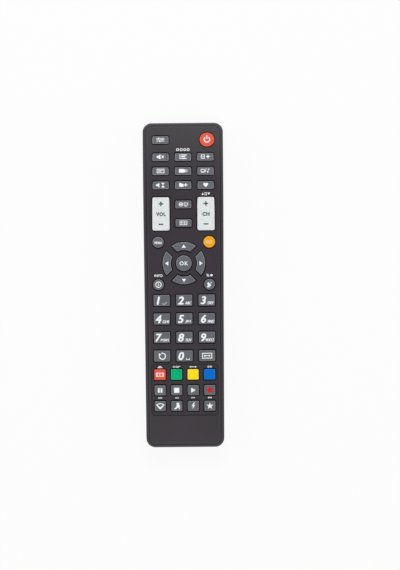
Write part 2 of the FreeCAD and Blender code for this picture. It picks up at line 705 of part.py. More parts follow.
def widened(name, outline, expression):
    """An outline moved out by a length from the sheet."""
    wide = doc.addObject("Part::Offset2D", name)
    wide.Source = outline
    wide.setExpression("Value", expression)
    return wide


def joined(kind, name, *pieces):
    """A Part boolean of several objects."""
    result = doc.addObject(kind, name)
    if kind in ("Part::MultiFuse", "Part::MultiCommon"):
        result.Shapes = list(pieces)
    else:
        result.Base, result.Tool = pieces
    return result


def top_edges(shape, offset):
    """Numbers of the edges round the top of a key, which lies on the layer called offset."""
    tops = []
    for face in shape.Faces:
        middle = face.CenterOfMass
        if abs(middle.z - layer_point(middle.y, offset).z) < size.key_bevel / 4:
            tops.append(face)
    numbers = []
    for number, edge in enumerate(shape.Edges, start=1):
        owners = [top for top in tops if any(edge.isSame(other) for other in top.Edges)]
        if len(owners) == 1:
            numbers.append(number)
    return numbers


def make_keys(sketches):
    """Each key: a cap that follows the face, and a rim under the face that keeps it in."""
    under_face = size.face_rise - size.face_wall
    cap_top = add_feature("below_key_tops", slab(-size.side_wall, size.face_rise + size.key_proud))
    sunk_proud = size.key_proud - size.panel_depth
    sunk_top = add_feature("below_sunk_tops", slab(-size.side_wall, size.face_rise + sunk_proud))
    rims = {}
    for kind, lift in (("key", size.fit), ("rocker", size.rocker_lift)):
        top = under_face - lift
        rims[kind] = add_feature(f"{kind}_rim_layer", slab(top - size.flange_thickness, top))
    holes = []
    for name, sketch in sketches.items():
        rocker = name.endswith("rocker")
        sunk = sketch.Placement.Base.y < size.panel_top
        top = sunk_top if sunk else cap_top
        hole_outline = widened(f"hole_outline_of_{name}", sketch, cell("key_gap"))
        holes.append(raised(f"hole_of_{name}", hole_outline))
        rim_outline = widened(f"rim_outline_of_{name}", sketch, "Sizes.key_gap + Sizes.flange_width")
        cap = joined("Part::Common", f"cap_of_{name}", raised(f"column_of_{name}", sketch), top)
        rim_column = raised(f"rim_column_of_{name}", rim_outline)
        rim = joined("Part::Common", f"rim_of_{name}", rim_column, rims["rocker" if rocker else "key"])
        blank = joined("Part::Fuse", f"blank_of_{name}", cap, rim)
        doc.recompute()
        offset = size.face_rise + size.key_proud - (size.panel_depth if sunk else 0)
        key = doc.addObject("Part::Chamfer", name)
        key.Base = blank
        key.Edges = [(number, size.key_bevel, size.key_bevel) for number in top_edges(blank.Shape, offset)]
        keep(key, name)
    return holes


def upper_shell():
    """The upper housing before its key holes: face, bevelled rim, walls and lip."""
    bottom = size.seam_gap / 2
    outer = slab(bottom, size.face_rise).common(plan_prism(0))
    rim = []
    for edge in outer.Edges:
        middle = edge.CenterOfMass
        on_face = abs(middle.z - layer_point(middle.y, size.face_rise).z) < 1
        inside = abs(middle.x) < 1 and abs(middle.y) < HALF_LENGTH - 1
        if on_face and not inside and abs(edge.tangentAt(edge.FirstParameter).z) < 0.9:
            rim.append(edge)
    return outer, rim


def upper_housing(holes):
    """The upper housing as a blank, cut by the holes of all the keys."""
    outer, rim = upper_shell()
    outer = outer.makeChamfer(size.rim_drop, size.rim_width, rim)
    inset = size.wall + size.fit + size.lip_wall
    room = slab(-2 * size.side_wall, size.face_rise - size.face_wall).common(plan_prism(inset))
    lip = plan_prism(size.wall + size.fit).cut(plan_prism(inset))
    lip = lip.common(slab(-size.lip_depth, size.seam_gap))
    half = size.panel_width / 2
    panel = box(-half, half, size.panel_bottom, size.panel_top, 0, size.seam_height + size.face_rise + PAST)
    uprights = [edge for edge in panel.Edges if abs(edge.tangentAt(0).z) > 0.5]
    panel = panel.makeFillet(size.panel_corner, uprights)
    sunk = panel.common(slab(size.face_rise - size.panel_depth, size.face_rise + PAST))
    blank = add_feature("upper_housing_blank", outer.cut([room, sunk]).fuse(lip))
    all_holes = doc.addObject("Part::Compound", "key_holes")
    all_holes.Links = holes
    keep(joined("Part::Cut", "upper_housing", blank, all_holes), "upper_housing")


# Flat and bent parts, as bodies with sketches and pads.


def new_body(label):
    body = doc.addObject("PartDesign::Body", label)
    return keep(body, label)


def body_sketch(body, name, role, away=0.0):
    """A sketch on one of the body's own planes, or away from it along its normal."""
    sketch = body.newObject("Sketcher::SketchObject", name)
    plane = next(item for item in body.Origin.OriginFeatures if item.Role == role)
    sketch.AttachmentSupport = [(plane, "")]
    sketch.MapMode = "FlatFace"
    sketch.AttachmentOffset = FreeCAD.Placement(away * UP, Rotation())
    return sketch


def pad(body, sketch, expression, midplane=False):
    feature = body.newObject("PartDesign::Pad", f"pad_of_{sketch.Name}")
    feature.Profile = sketch
    feature.Midplane = midplane
    feature.setExpression("Length", expression)
    return feature


def draw_path(sketch, edges):
    """A closed outline of lines and arcs, given as Part curves end to end, joined at their ends."""
    for edge in edges:
        sketch.addGeometry(edge)
    for number in range(len(edges)):
        following = (number + 1) % len(edges)
        pairs = []
        for end in (1, 2):
            for start in (1, 2):
                apart = sketch.getPoint(number, end).distanceToPoint(sketch.getPoint(following, start))
                pairs.append((apart, end, start))
        _, end, start = min(pairs)
        sketch.addConstraint(Sketcher.Constraint("Coincident", number, end, following, start))
        way = sketch.getPoint(number, 2) - sketch.getPoint(number, 1)
        if isinstance(edges[number], Part.LineSegment):
            for kind, aside in (("Horizontal", way.y), ("Vertical", way.x)):
                if abs(aside) < SAME_PLACE:
                    sketch.addConstraint(Sketcher.Constraint(kind, number))
    doc.recompute()


def segment(first, last):
    return Part.LineSegment(Vector(*first, 0), Vector(*last, 0))


def chain(points):
    """Line segments through points, closed."""
    return [segment(first, last) for first, last in zip(points, points[1:] + points[:1])]


def battery_door():
    body = new_body("battery_door")
    plate = body_sketch(body, "door_outline", "XY_Plane")
    half = size.door_opening_width / 2 - size.door_gap
    top = size.door_top - size.door_gap
    low = DOOR_TAIL + size.door_gap
    draw_path(plate, chain([(-half, low), (half, low), (half, top), (-half, top)]))
    pad(body, plate, "Sizes.door_thickness")
    doc.recompute()
    blank = body.Tip
    uprights = []
    for number, edge in enumerate(blank.Shape.Edges, start=1):
        if abs(edge.tangentAt(edge.FirstParameter).z) > 0.5:
            uprights.append(f"Edge{number}")
    corners = body.newObject("PartDesign::Fillet", "door_corners")
    corners.Base = (blank, uprights)
    corners.Radius = size.door_corner - size.door_gap
    doc.recompute()
    inside = size.door_thickness
    root = top - size.tab_thickness
    reach = size.door_top + size.tab_reach
    hook = [(root, inside - size.fit), (top, inside - size.fit), (top, TAB_LOW), (reach, TAB_LOW),
            (reach, TAB_HIGH), (root, TAB_HIGH)]
    for side, name in ((-1, "left_hook"), (1, "right_hook")):
        sketch = body_sketch(body, name, "YZ_Plane", side * size.tab_place)
        draw_path(sketch, chain(hook))
        pad(body, sketch, "Sizes.tab_width", True)
        doc.recompute()
    arm = body_sketch(body, "door_arm", "YZ_Plane")
    draw_path(arm, bent_arm(1))
    pad(body, arm, "Sizes.latch_width", True)
    doc.recompute()


def bent_arm(side):
    """Half of the U-shaped spring: side 1 is on the door, side -1 on the latch."""
    door_face = DOOR_TAIL + size.door_gap
    centre = Vector((door_face + SLOT_TAIL) / 2, size.latch_bend_height, 0)
    inner = (door_face - SLOT_TAIL) / 2
    outer = inner + size.latch_arm
    gap = size.fit / 2
    middle = math.sqrt(0.5)

    def arc(radius, backwards):
        """A quarter of the bend that stops just short of its top."""
        shift = side * gap
        first = centre + Vector(side * radius, 0, 0)
        last = centre + Vector(shift, math.sqrt(radius ** 2 - gap ** 2), 0)
        between = centre + middle * Vector(side * radius, radius, 0)
        return (last, between, first) if backwards else (first, between, last)

    outer_arc = arc(outer, False)
    inner_arc = arc(inner, True)
    outer_x = centre.x + side * outer
    inner_x = centre.x + side * inner
    if side == 1:
        foot = [(inner_x, size.door_thickness - size.fit), (outer_x, size.door_thickness - size.fit)]
    else:
        low = size.fit
        foot = [(inner_x, low), (LATCH_TAIL, low), (LATCH_TAIL, size.door_thickness),
                (outer_x, size.door_thickness)]
    bend = size.latch_bend_height
    path = [segment((inner_x, bend), foot[0])]
    path += [segment(first, last) for first, last in zip(foot, foot[1:])]
    path.append(segment(foot[-1], (outer_x, bend)))
    path.append(Part.Arc(*outer_arc))
    path.append(Part.LineSegment(outer_arc[2], inner_arc[0]))
    path.append(Part.Arc(*inner_arc))
    return path


def door_latch():
    body = new_body("door_latch")
    profile = body_sketch(body, "latch_profile", "YZ_Plane")
    draw_path(profile, bent_arm(-1))
    pad(body, profile, "Sizes.latch_width", True)
    doc.recompute()
    start = SLOT_TAIL - size.grip_pitch
    low = size.fit - size.grip_depth
    high = size.fit + size.grip_depth
    groove_width = size.grip_pitch / 2
    groove = body_sketch(body, "grip_groove", "YZ_Plane")
    draw_path(groove, chain([(start - groove_width, low), (start, low), (start, high),
                             (start - groove_width, high)]))
    pocket = body.newObject("PartDesign::Pocket", "grip_pocket")
    pocket.Profile = groove
    pocket.Midplane = True
    pocket.setExpression("Length", "Sizes.latch_width * 2")
    doc.recompute()
    pattern = body.newObject("PartDesign::LinearPattern", "grip_grooves")
    pattern.Originals = [pocket]
    pattern.Direction = (groove, ["H_Axis"])
    pattern.Reversed = True
    pattern.Occurrences = int((size.latch_length - size.grip_pitch / 2) / size.grip_pitch)
    pattern.Length = (pattern.Occurrences - 1) * size.grip_pitch
    body.Tip = pattern
    doc.recompute()


def circuit_board():
    body = new_body("circuit_board")
    outline = body_sketch(body, "board_outline", "XY_Plane", size.board_underside)
    half = size.board_width / 2
    draw_path(outline, chain([(-half, size.board_tail), (half, size.board_tail), (half, size.board_nose),
                              (-half, size.board_nose)]))
    for x, y in POSTS:
        outline.addGeometry(Part.Circle(Vector(x, y, 0), UP, size.pin_diameter / 2 + size.fit))
    pad(body, outline, "Sizes.board_thickness")
    doc.recompute()


def keypad_mat():
    body = new_body("keypad_mat")
    outline = body_sketch(body, "mat_outline", "XY_Plane", BOARD_TOP)
    half = size.board_width / 2 - size.mat_margin
    low = size.board_tail + size.mat_margin
    high = size.board_nose - size.mat_margin
    draw_path(outline, chain([(-half, low), (half, low), (half, high), (-half, high)]))
    pad(body, outline, "Sizes.mat_thickness")
    doc.recompute()


def board_components():
    """What is soldered under the board: one chip, a resonator, a capacitor and small resistors."""
    top = size.board_underside
    chip_half, chip_height = 5.0, 1.6
    chip_y = 62.0
    solids = [box(-chip_half, chip_half, chip_y - chip_half, chip_y + chip_half, top - chip_height, top)]
    can_length, can_half, can_y = 11.0, 2.2, 46.0
    solids.append(box(-can_length / 2, can_length / 2, can_y - can_half, can_y + can_half,
                      top - 2 * can_half, top))
    capacitor_radius, capacitor_length = 2.5, 7.0
    capacitor_end = Vector(10.0, 78.0, top - capacitor_radius)
    solids.append(Part.makeCylinder(capacitor_radius, capacitor_length, capacitor_end, -ALONG))
    resistor_length, resistor_half, resistor_pitch = 3.2, 0.8, 4.0
    for index in range(4):
        y = chip_y + (index - 1.5) * resistor_pitch
        solids.append(box(-chip_half - 2 * resistor_length, -chip_half - resistor_length,
                          y - resistor_half, y + resistor_half, top - resistor_half, top))
    keep(add_feature("board_components", Part.makeCompound(solids)), "board_components")


def ir_led():
    """A round diode that looks out of the slope; its legs turn up to the board."""
    radius = size.led_diameter / 2
    back = Vector(0, LED_BACK, LED_HEIGHT)
    solids = [
        Part.makeCylinder(radius, size.led_body, back, ALONG),
        Part.makeSphere(radius, back + size.led_body * ALONG),
        Part.makeCylinder(radius + size.led_rim, 2 * size.led_rim, back, ALONG),
    ]
    leg = size.leg_thickness / 2
    bend = LED_BACK - radius
    for side in (-1, 1):
        elbow = Vector(side * size.led_pitch / 2, bend, LED_HEIGHT)
        solids.append(Part.makeCylinder(leg, radius + size.led_rim, elbow, ALONG))
        solids.append(Part.makeSphere(leg, elbow))
        solids.append(Part.makeCylinder(leg, size.board_underside - LED_HEIGHT, elbow, UP))
    keep(add_feature("ir_led", solids[0].fuse(solids[1:])), "ir_led")


# Battery bay.


def battery(label, side):
    """A cell: on the left its button points to the infra-red end, on the right to the tail."""
    can = doc.addObject("Part::Cylinder", f"can_of_{label}")
    can.setExpression("Radius", "Sizes.cell_diameter / 2")
    can.setExpression("Height", cell("cell_can"))
    button = doc.addObject("Part::Cylinder", f"button_of_{label}")
    button.setExpression("Radius", "Sizes.cell_button_diameter / 2")
    button.setExpression("Height", "Sizes.cell_can + Sizes.cell_button")
    whole = joined("Part::Fuse", label, can, button)
    start = BAY_TAIL + size.plate_thickness + size.spring_room
    if side > 0:
        start = BAY_TOP - size.plate_thickness - size.spring_room
    whole.Placement = FreeCAD.Placement(
        Vector(side * CELL_AXIS_X, start, CELL_AXIS_Z), Rotation(ACROSS, 90 * side)
    )
    keep(whole, label)


def biarc(start, leaving, end, arriving):
    """Two arcs that join two points along given directions."""
    apart = end - start
    sum_of_ways = leaving + arriving
    spread = 2 * (1 - leaving.dot(arriving))
    along = apart.dot(sum_of_ways)
    reach = (math.sqrt(along ** 2 + spread * apart.dot(apart)) - along) / spread
    first_control = start + reach * leaving
    second_control = end - reach * arriving
    join = (first_control + second_control) / 2
    arcs = []
    for first, control, last in ((start, first_control, join), (join, second_control, end)):
        middle = (first + last) / 2
        half = first.distanceToPoint(last) / 2
        height = control.distanceToPoint(middle)
        radius = half * reach / height
        rise = radius - math.sqrt(radius ** 2 - half ** 2)
        arcs.append(Part.Arc(first, middle + rise * (control - middle).normalize(), last).toShape())
    return arcs


def contact_spring(foot, way):
    """A conical spring from its plate to the cell; way is the direction that it points in."""
    side = way.cross(UP)
    wire = size.spring_wire
    lead = 0.6  # rise of the wire between its straight foot and its turns
    rise = size.spring_room - 2 * (wire + lead)
    quarters = round(size.spring_turns * 4)

    def spot(quarter):
        """A point of the turns, and the way the wire runs there."""
        share = quarter / quarters
        angle = quarter * math.pi / 2
        radius = size.spring_base + share * (size.spring_tip - size.spring_base)
        outward = math.cos(angle) * side + math.sin(angle) * UP
        onward = math.cos(angle) * UP - math.sin(angle) * side
        point = foot + radius * outward + (wire + lead + share * rise) * way
        climb = rise / quarters
        narrowing = (size.spring_tip - size.spring_base) / quarters
        heading = (radius * math.pi / 2 * onward + narrowing * outward + climb * way).normalize()
        return point, heading

    ways_in = math.pi / 3
    points = [spot(quarter) for quarter in range(quarters + 1)]
    start_out = math.cos(-ways_in) * side + math.sin(-ways_in) * UP
    last_angle = quarters * math.pi / 2 + ways_in
    end_out = math.cos(last_angle) * side + math.sin(last_angle) * UP
    base = foot + size.spring_base * start_out
    tip = foot + size.spring_tip * end_out + size.spring_room * way
    nodes = [(base + wire * way, way)] + points + [(tip - wire * way, way)]
    edges = [line(base, base + wire * way)]
    for (start, leaving), (end, arriving) in zip(nodes, nodes[1:]):
        edges += biarc(start, leaving, end, arriving)
    edges.append(line(tip - wire * way, tip))
    path = Part.Wire(edges)
    section = Part.Wire([Part.makeCircle(wire / 2, base, way)])
    coil = path.makePipeShell([section], True)
    samples = []
    samples_per_edge = 12
    for edge in path.Edges:
        samples += edge.discretize(samples_per_edge)
    apart = math.pi * size.spring_tip
    walked = [0.0]
    for first, last in zip(samples, samples[1:]):
        walked.append(walked[-1] + first.distanceToPoint(last))
    gaps = []
    for number, first in enumerate(samples):
        for other in range(number + 1, len(samples)):
            if walked[other] - walked[number] > apart:
                gaps.append(first.distanceToPoint(samples[other]))
    print("spring: least gap to itself", round(min(gaps) - wire, 2), "mm; volume against its length",
          round(coil.Volume / (path.Length * math.pi * wire ** 2 / 4), 3))
    return coil


def contact_parts():
    """Plates at both ends of the bay, and a spring at the flat end of each cell."""
    low, high = size.plate_low, BAY_CEILING - size.fit
    thick = size.plate_thickness
    half = size.plate_width / 2
    plates = [box(-CELL_AXIS_X - half, CELL_AXIS_X + half, BAY_TAIL, BAY_TAIL + thick, low, high)]
    for side in (-1, 1):
        x = side * CELL_AXIS_X
        plate = box(x - half, x + half, BAY_TOP - thick, BAY_TOP, low, high)
        leg = box(x - LEG_HALF, x + LEG_HALF, BAY_TOP - thick, BAY_TOP, low, size.board_underside)
        plates.append(plate.fuse(leg).removeSplitter())
    keep(add_feature("contact_plates", Part.makeCompound(plates)), "contact_plates")
    coils = [
        contact_spring(Vector(-CELL_AXIS_X, BAY_TAIL + thick, CELL_AXIS_Z), ALONG),
        contact_spring(Vector(CELL_AXIS_X, BAY_TOP - thick, CELL_AXIS_Z), -ALONG),
    ]
    keep(add_feature("contact_springs", Part.makeCompound(coils)), "contact_springs")


def check(item):
    """Stops if the document failed to work an object out."""
    if any(word in state for state in item.State for word in ("Invalid", "Error")):
        raise RuntimeError(f"{item.Label} failed: {item.State}")


keep(add_feature("lower_housing", lower_housing()), "lower_housing")
battery_door()
door_latch()
circuit_board()
keypad_mat()
board_components()
ir_led()
battery("battery_left", -1)
battery("battery_right", 1)
contact_parts()
upper_housing(make_keys(key_sketches()))
doc.recompute()

for item in doc.Objects:
    check(item)
for part in parts:
    if part.Shape.isNull() or not part.Shape.isValid():
        raise RuntimeError(f"{part.Label} has no valid shape")

os.makedirs("parts", exist_ok=True)
for part in parts:
    part.Shape.exportStep(f"parts/{part.Label}.step")
    print(part.Label, "solids", len(part.Shape.Solids), "volume", round(part.Shape.Volume, 1))
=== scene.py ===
import json
import math

import bmesh
import bpy
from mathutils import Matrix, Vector
from mathutils.bvhtree import BVHTree


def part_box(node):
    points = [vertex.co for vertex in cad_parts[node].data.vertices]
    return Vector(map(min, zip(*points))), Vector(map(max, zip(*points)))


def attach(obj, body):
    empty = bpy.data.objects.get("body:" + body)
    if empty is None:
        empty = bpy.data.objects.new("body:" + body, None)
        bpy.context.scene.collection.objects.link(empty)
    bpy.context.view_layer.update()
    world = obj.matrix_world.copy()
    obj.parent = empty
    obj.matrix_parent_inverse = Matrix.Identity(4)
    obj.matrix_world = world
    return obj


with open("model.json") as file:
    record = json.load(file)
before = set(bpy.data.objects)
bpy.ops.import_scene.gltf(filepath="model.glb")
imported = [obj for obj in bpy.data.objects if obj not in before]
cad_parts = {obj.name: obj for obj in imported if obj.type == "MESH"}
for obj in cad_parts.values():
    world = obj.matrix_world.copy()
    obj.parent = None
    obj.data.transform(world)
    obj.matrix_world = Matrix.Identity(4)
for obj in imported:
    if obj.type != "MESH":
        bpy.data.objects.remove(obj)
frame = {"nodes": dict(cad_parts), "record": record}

# Looks of a hand-held remote control. Lengths are in metres, and in millimetres where a name
# or a comment says so. X runs across the handset, Y towards the infra-red end, Z out of the keys.

MM = 0.001
nodes = frame["nodes"]
bodies = frame["record"]["behaviour"]["bodies"]
node_body = {node: body for body, members in bodies.items() for node in members}
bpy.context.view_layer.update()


# Materials.

NOISE_LOW, NOISE_HIGH = 0.3, 0.7  # nearly all values of a noise lie between these
ABS_IOR = 1.53
EPOXY_IOR = 1.55
RIM = 2.3  # bevel round the face, in millimetres
CAP_EDGE = 0.25  # millimetres of cap below the lowest part of a key's top; below that the key is painted dark as shade
BRIGHT_GLOSS = 0.05  # a weaker gloss leaves the bright colours clear


def linear(colour):
    """An sRGB hex colour as the linear values that a shader takes."""
    channels = []
    for start in (1, 3, 5):
        value = int(colour[start:start + 2], 16) / 255
        channels.append(value / 12.92 if value <= 0.04045 else ((value + 0.055) / 1.055) ** 2.4)
    return (*channels, 1.0)


def add_node(tree, kind, inputs=None, **settings):
    """Adds a node with its settings; each input is a value, a hex colour or another node's output."""
    node = tree.nodes.new(kind)
    for name, value in settings.items():
        setattr(node, name, value)
    for name, value in (inputs or {}).items():
        socket = node.inputs[name]
        if isinstance(value, bpy.types.NodeSocket):
            tree.links.new(value, socket)
        elif isinstance(value, str):
            socket.default_value = linear(value)[:len(socket.default_value)]
        else:
            socket.default_value = value
    return node


def new_material(name):
    material = bpy.data.materials.new(name)
    material.use_nodes = True
    material.node_tree.nodes.clear()
    return material, material.node_tree


def grain(tree, size, detail=2.0):
    """Noise whose grains are about size millimetres across, fixed to the piece."""
    place = add_node(tree, "ShaderNodeTexCoord").outputs["Object"]
    noise = {"Vector": place, "Scale": 1 / (size * MM), "Detail": detail}
    return add_node(tree, "ShaderNodeTexNoise", noise).outputs["Fac"]


def steepness(tree):
    """1 on faces that lie flat, 0 on upright walls."""
    normal = add_node(tree, "ShaderNodeTexCoord").outputs["Normal"]
    z = add_node(tree, "ShaderNodeSeparateXYZ", {"Vector": normal}).outputs["Z"]
    return add_node(tree, "ShaderNodeMath", {0: z}, operation="ABSOLUTE").outputs["Value"]


def between(tree, noise, low, high):
    """A value that goes from low to high with a noise."""
    span = {"Value": noise, "From Min": NOISE_LOW, "From Max": NOISE_HIGH, "To Min": low, "To Max": high}
    return add_node(tree, "ShaderNodeMapRange", span).outputs["Result"]


def coloured_by(tree, value, stops, interpolation="LINEAR"):
    """Colours that follow a value; stops are places from 0 to 1, with hex colours or linear ones."""
    node = add_node(tree, "ShaderNodeValToRGB", {"Fac": value})
    node.color_ramp.interpolation = interpolation
    elements = node.color_ramp.elements
    while len(elements) < len(stops):
        elements.new(0.5)
    for element, (place, colour) in zip(elements, stops):
        element.position = place
        element.color = linear(colour) if isinstance(colour, str) else colour
    return node.outputs["Color"]


def scaled(tree, colour, factor):
    """A colour made lighter or darker by a factor."""
    product = add_node(tree, "ShaderNodeVectorMath", {0: colour, "Scale": factor}, operation="SCALE")
    return product.outputs["Vector"]


def shaded(tree, colour, noise, strength):
    """A colour made a little lighter and darker by a noise."""
    return scaled(tree, colour, between(tree, noise, 1 - strength, 1 + strength))


def plan_depth(tree, half_width, half_length, corner, middle=0.0, widening=0.0):
    """How far inside a rounded rectangle a point lies, seen from the front, in millimetres. The
    rectangle's middle is at Y = middle, and its half width grows by widening for each millimetre
    towards the infra-red end."""
    place = add_node(tree, "ShaderNodeTexCoord").outputs["Object"]
    y = add_node(tree, "ShaderNodeSeparateXYZ", {"Vector": place}).outputs["Y"]
    across = (widening / MM, 0.0, 0.0)
    wider = add_node(tree, "ShaderNodeVectorMath", {0: across, "Scale": y}, operation="SCALE")
    nothing = (0.0, 0.0, 0.0)
    steps = [
        ("MULTIPLY", (1 / MM, 1 / MM, 0.0)),  # flat, in millimetres
        ("SUBTRACT", (0.0, middle, 0.0)),
        ("ABSOLUTE", nothing),
        ("SUBTRACT", (half_width - corner, half_length - corner, 0.0)),  # from the middle of a corner
        ("SUBTRACT", wider.outputs["Vector"]),
    ]
    past = place
    for operation, other in steps:
        step = add_node(tree, "ShaderNodeVectorMath", {0: past, 1: other}, operation=operation)
        past = step.outputs["Vector"]
    beyond = add_node(tree, "ShaderNodeVectorMath", {0: past, 1: nothing}, operation="MAXIMUM")
    outside = add_node(tree, "ShaderNodeVectorMath", {0: beyond.outputs["Vector"]}, operation="LENGTH")
    distance, y_past, _ = add_node(tree, "ShaderNodeSeparateXYZ", {"Vector": past}).outputs
    for operation, other in (("MAXIMUM", y_past), ("MINIMUM", 0.0), ("ADD", outside.outputs["Value"])):
        step = add_node(tree, "ShaderNodeMath", {0: distance, 1: other}, operation=operation)
        distance = step.outputs["Value"]
    return add_node(tree, "ShaderNodeMath", {0: corner, 1: distance}, operation="SUBTRACT").outputs["Value"]


def edge_shade(tree, colour, depth, stops):
    """A colour with painted highlights and painted shade along an edge; stops are depths in millimetres with
    factors.
    """
    first, last = stops[0][0], stops[-1][0]
    share = add_node(tree, "ShaderNodeMapRange", {"Value": depth, "From Min": first, "From Max": last})
    most = 2.0  # the colours of a ramp end at 1, so its factors are halved and doubled again
    greys = [((place - first) / (last - first), (*[factor / most] * 3, 1.0)) for place, factor in stops]
    halved = coloured_by(tree, share.outputs["Result"], greys)
    factor = add_node(tree, "ShaderNodeMath", {0: halved, 1: most}, operation="MULTIPLY")
    return scaled(tree, colour, factor.outputs["Value"])


def mixed(tree, share, colour, other):
    """A colour that goes over into another one as share goes from 0 to 1. The node has several
    inputs A and B: those for colours are 6 and 7, and their output is 2."""
    colours = {"Factor": share, 6: colour, 7: other}
    return add_node(tree, "ShaderNodeMix", colours, data_type="RGBA").outputs[2]


def surface(tree, colour, noise, roughness, depth, others):
    """The surface of a material. Its roughness, given as the lowest and the highest, and its bumps,
    depth millimetres deep, follow a noise; the other values are the same all over."""
    inputs = {"Base Color": colour, "Roughness": between(tree, noise, *roughness), **others}
    if depth:
        bump = add_node(tree, "ShaderNodeBump", {"Height": noise, "Strength": 1.0, "Distance": depth * MM})
        inputs["Normal"] = bump.outputs["Normal"]
    shader = add_node(tree, "ShaderNodeBsdfPrincipled", inputs)
    add_node(tree, "ShaderNodeOutputMaterial", {"Surface": shader.outputs["BSDF"]})


def in_shade(tree, colour, depth):
    """A colour made dark on the walls of the holes in the face, where little light gets in."""
    slope_to_wall = {"Value": steepness(tree), "From Min": 0.6, "From Max": 0.4}
    rim_to_face = {"Value": depth, "From Min": RIM, "From Max": RIM + 0.2}
    upright = add_node(tree, "ShaderNodeMapRange", slope_to_wall).outputs["Result"]
    within = add_node(tree, "ShaderNodeMapRange", rim_to_face).outputs["Result"]
    shade = add_node(tree, "ShaderNodeMath", {0: upright, 1: within}, operation="MULTIPLY").outputs["Value"]
    return mixed(tree, shade, colour, "#08080a")


def spark_eroded_abs(name, painted_shading, edges, holes=None, gloss=0.2):
    """Charcoal ABS from a spark-eroded mould: an even, matt, fine-grained skin that the light
    slides over, with painted shade lines and painted highlights along the edges where its parts meet.
    Its colour is painted light and shade, darker on upright walls and lighter on flat faces.
    The real grain is 0.15 mm; it is drawn at 0.45 mm so that it shows."""
    material, tree = new_material(name)
    skin = grain(tree, size=0.45, detail=3.0)
    cloud = grain(tree, size=14.0)
    # Painted light and shade: walls darker, flat faces lighter, as the light falls on them.
    colour = shaded(tree, coloured_by(tree, steepness(tree), painted_shading), skin, 0.07)
    colour = shaded(tree, colour, cloud, 0.03)
    # Painted highlights and painted shade lines along the edges of rounded rectangles.
    for rectangle, shades in edges:
        colour = edge_shade(tree, colour, plan_depth(tree, **rectangle), shades)
    if holes:
        colour = in_shade(tree, colour, plan_depth(tree, **holes))
    surface(tree, colour, skin, roughness=(0.34, 0.42), depth=0.01,
           others={"IOR": ABS_IOR, "Specular IOR Level": gloss})
    return material


def satin_key_plastic(name, top, edge, skirt_shade="#0f0e11", gloss=0.12):
    """Moulded ABS caps with a fine satin top. Their bevelled edges carry a painted highlight, lighter
    than the top, and below its top each key is painted dark as the shade in the gap round it: near
    black for the grey and white keys, and a dark shade of the key's own colour for the bright ones.
    The real grain is 0.08 mm; it is drawn at 0.3 mm so that it shows."""
    material, tree = new_material(name)
    skin = grain(tree, size=0.3)
    cloud = grain(tree, size=3.0)
    # Painted highlight: the bevelled edges are lighter than the flat top and the walls.
    painted_shading = [(0.0, top), (0.5, edge), (0.85, edge), (0.96, top)]
    colour = shaded(tree, coloured_by(tree, steepness(tree), painted_shading), skin, 0.05)
    colour = shaded(tree, colour, cloud, 0.04)
    place = add_node(tree, "ShaderNodeTexCoord").outputs["Object"]
    height = add_node(tree, "ShaderNodeSeparateXYZ", {"Vector": place}).outputs["Z"]
    foot = add_node(tree, "ShaderNodeAttribute", attribute_type="OBJECT", attribute_name="cap_foot")
    over = {0: height, 1: foot.outputs["Fac"]}
    above_foot = add_node(tree, "ShaderNodeMath", over, operation="SUBTRACT").outputs["Value"]
    shade_to_cap = {"Value": above_foot, "From Min": 0.0, "From Max": 0.1 * MM}
    on_cap = add_node(tree, "ShaderNodeMapRange", shade_to_cap).outputs["Result"]
    # Painted shade: below cap_foot the key is painted dark, as the shade in the gap round it.
    colour = mixed(tree, on_cap, skirt_shade, colour)
    surface(tree, colour, skin, roughness=(0.36, 0.5), depth=0.008,
           others={"IOR": ABS_IOR, "Specular IOR Level": gloss})
    return material


def printed_ink(name, colour):
    """Pad-printed ink: a thin even film, a little uneven where it was pressed on."""
    material, tree = new_material(name)
    film = grain(tree, size=0.25)
    surface(tree, shaded(tree, colour, film, 0.03), film, roughness=(0.42, 0.55), depth=0.004,
           others={"IOR": 1.5, "Specular IOR Level": 0.2})
    return material


def silicone(name, colour):
    """Moulded silicone rubber: dull and slightly dusty."""
    material, tree = new_material(name)
    dust = grain(tree, size=0.6, detail=4.0)
    surface(tree, shaded(tree, colour, dust, 0.1), dust, roughness=(0.7, 0.85), depth=0.01,
           others={"IOR": 1.43})
    return material


def solder_mask(name):
    """Green solder mask on laminate: glossy, with copper tracks showing as lighter bands 0.8 mm apart."""
    material, tree = new_material(name)
    place = add_node(tree, "ShaderNodeTexCoord").outputs["Object"]
    track_spacing = 0.8 * MM
    tracks = add_node(tree, "ShaderNodeTexBrick", {
        "Vector": place, "Scale": 1 / track_spacing, "Brick Width": 6.0, "Row Height": 1.0,
        "Mortar Size": 0.1, "Mortar": "#1d5432", "Color1": "#123a21", "Color2": "#143f25"})
    fibre = grain(tree, size=0.4)
    surface(tree, shaded(tree, tracks.outputs["Color"], fibre, 0.05), fibre, roughness=(0.22, 0.34),
           depth=0.006, others={"IOR": EPOXY_IOR})
    return material


def moulded_epoxy(name, colour):
    """Black filled epoxy of chips and cases: matt with pale specks of filler 0.2 mm apart."""
    material, tree = new_material(name)
    filler = grain(tree, size=0.2, detail=4.0)
    surface(tree, shaded(tree, colour, filler, 0.25), filler, roughness=(0.5, 0.7), depth=0.005,
           others={"IOR": EPOXY_IOR})
    return material


def tinted_clear_epoxy(name, colour):
    """Clear epoxy of an infra-red diode, tinted a pale smoky violet: glossy, cast in a smooth mould."""
    material, tree = new_material(name)
    flow = grain(tree, size=1.5)
    surface(tree, shaded(tree, colour, flow, 0.08), flow, roughness=(0.04, 0.1), depth=0.0,
           others={"IOR": EPOXY_IOR, "Transmission Weight": 0.5})
    return material


def bright_metal(name, colour, scratch, roughness):
    """Drawn or stamped metal with fine marks of its tool, scratch millimetres apart."""
    material, tree = new_material(name)
    marks = grain(tree, size=scratch, detail=4.0)
    surface(tree, shaded(tree, colour, marks, 0.06), marks, roughness, depth=0.002,
           others={"Metallic": 1.0})
    return material


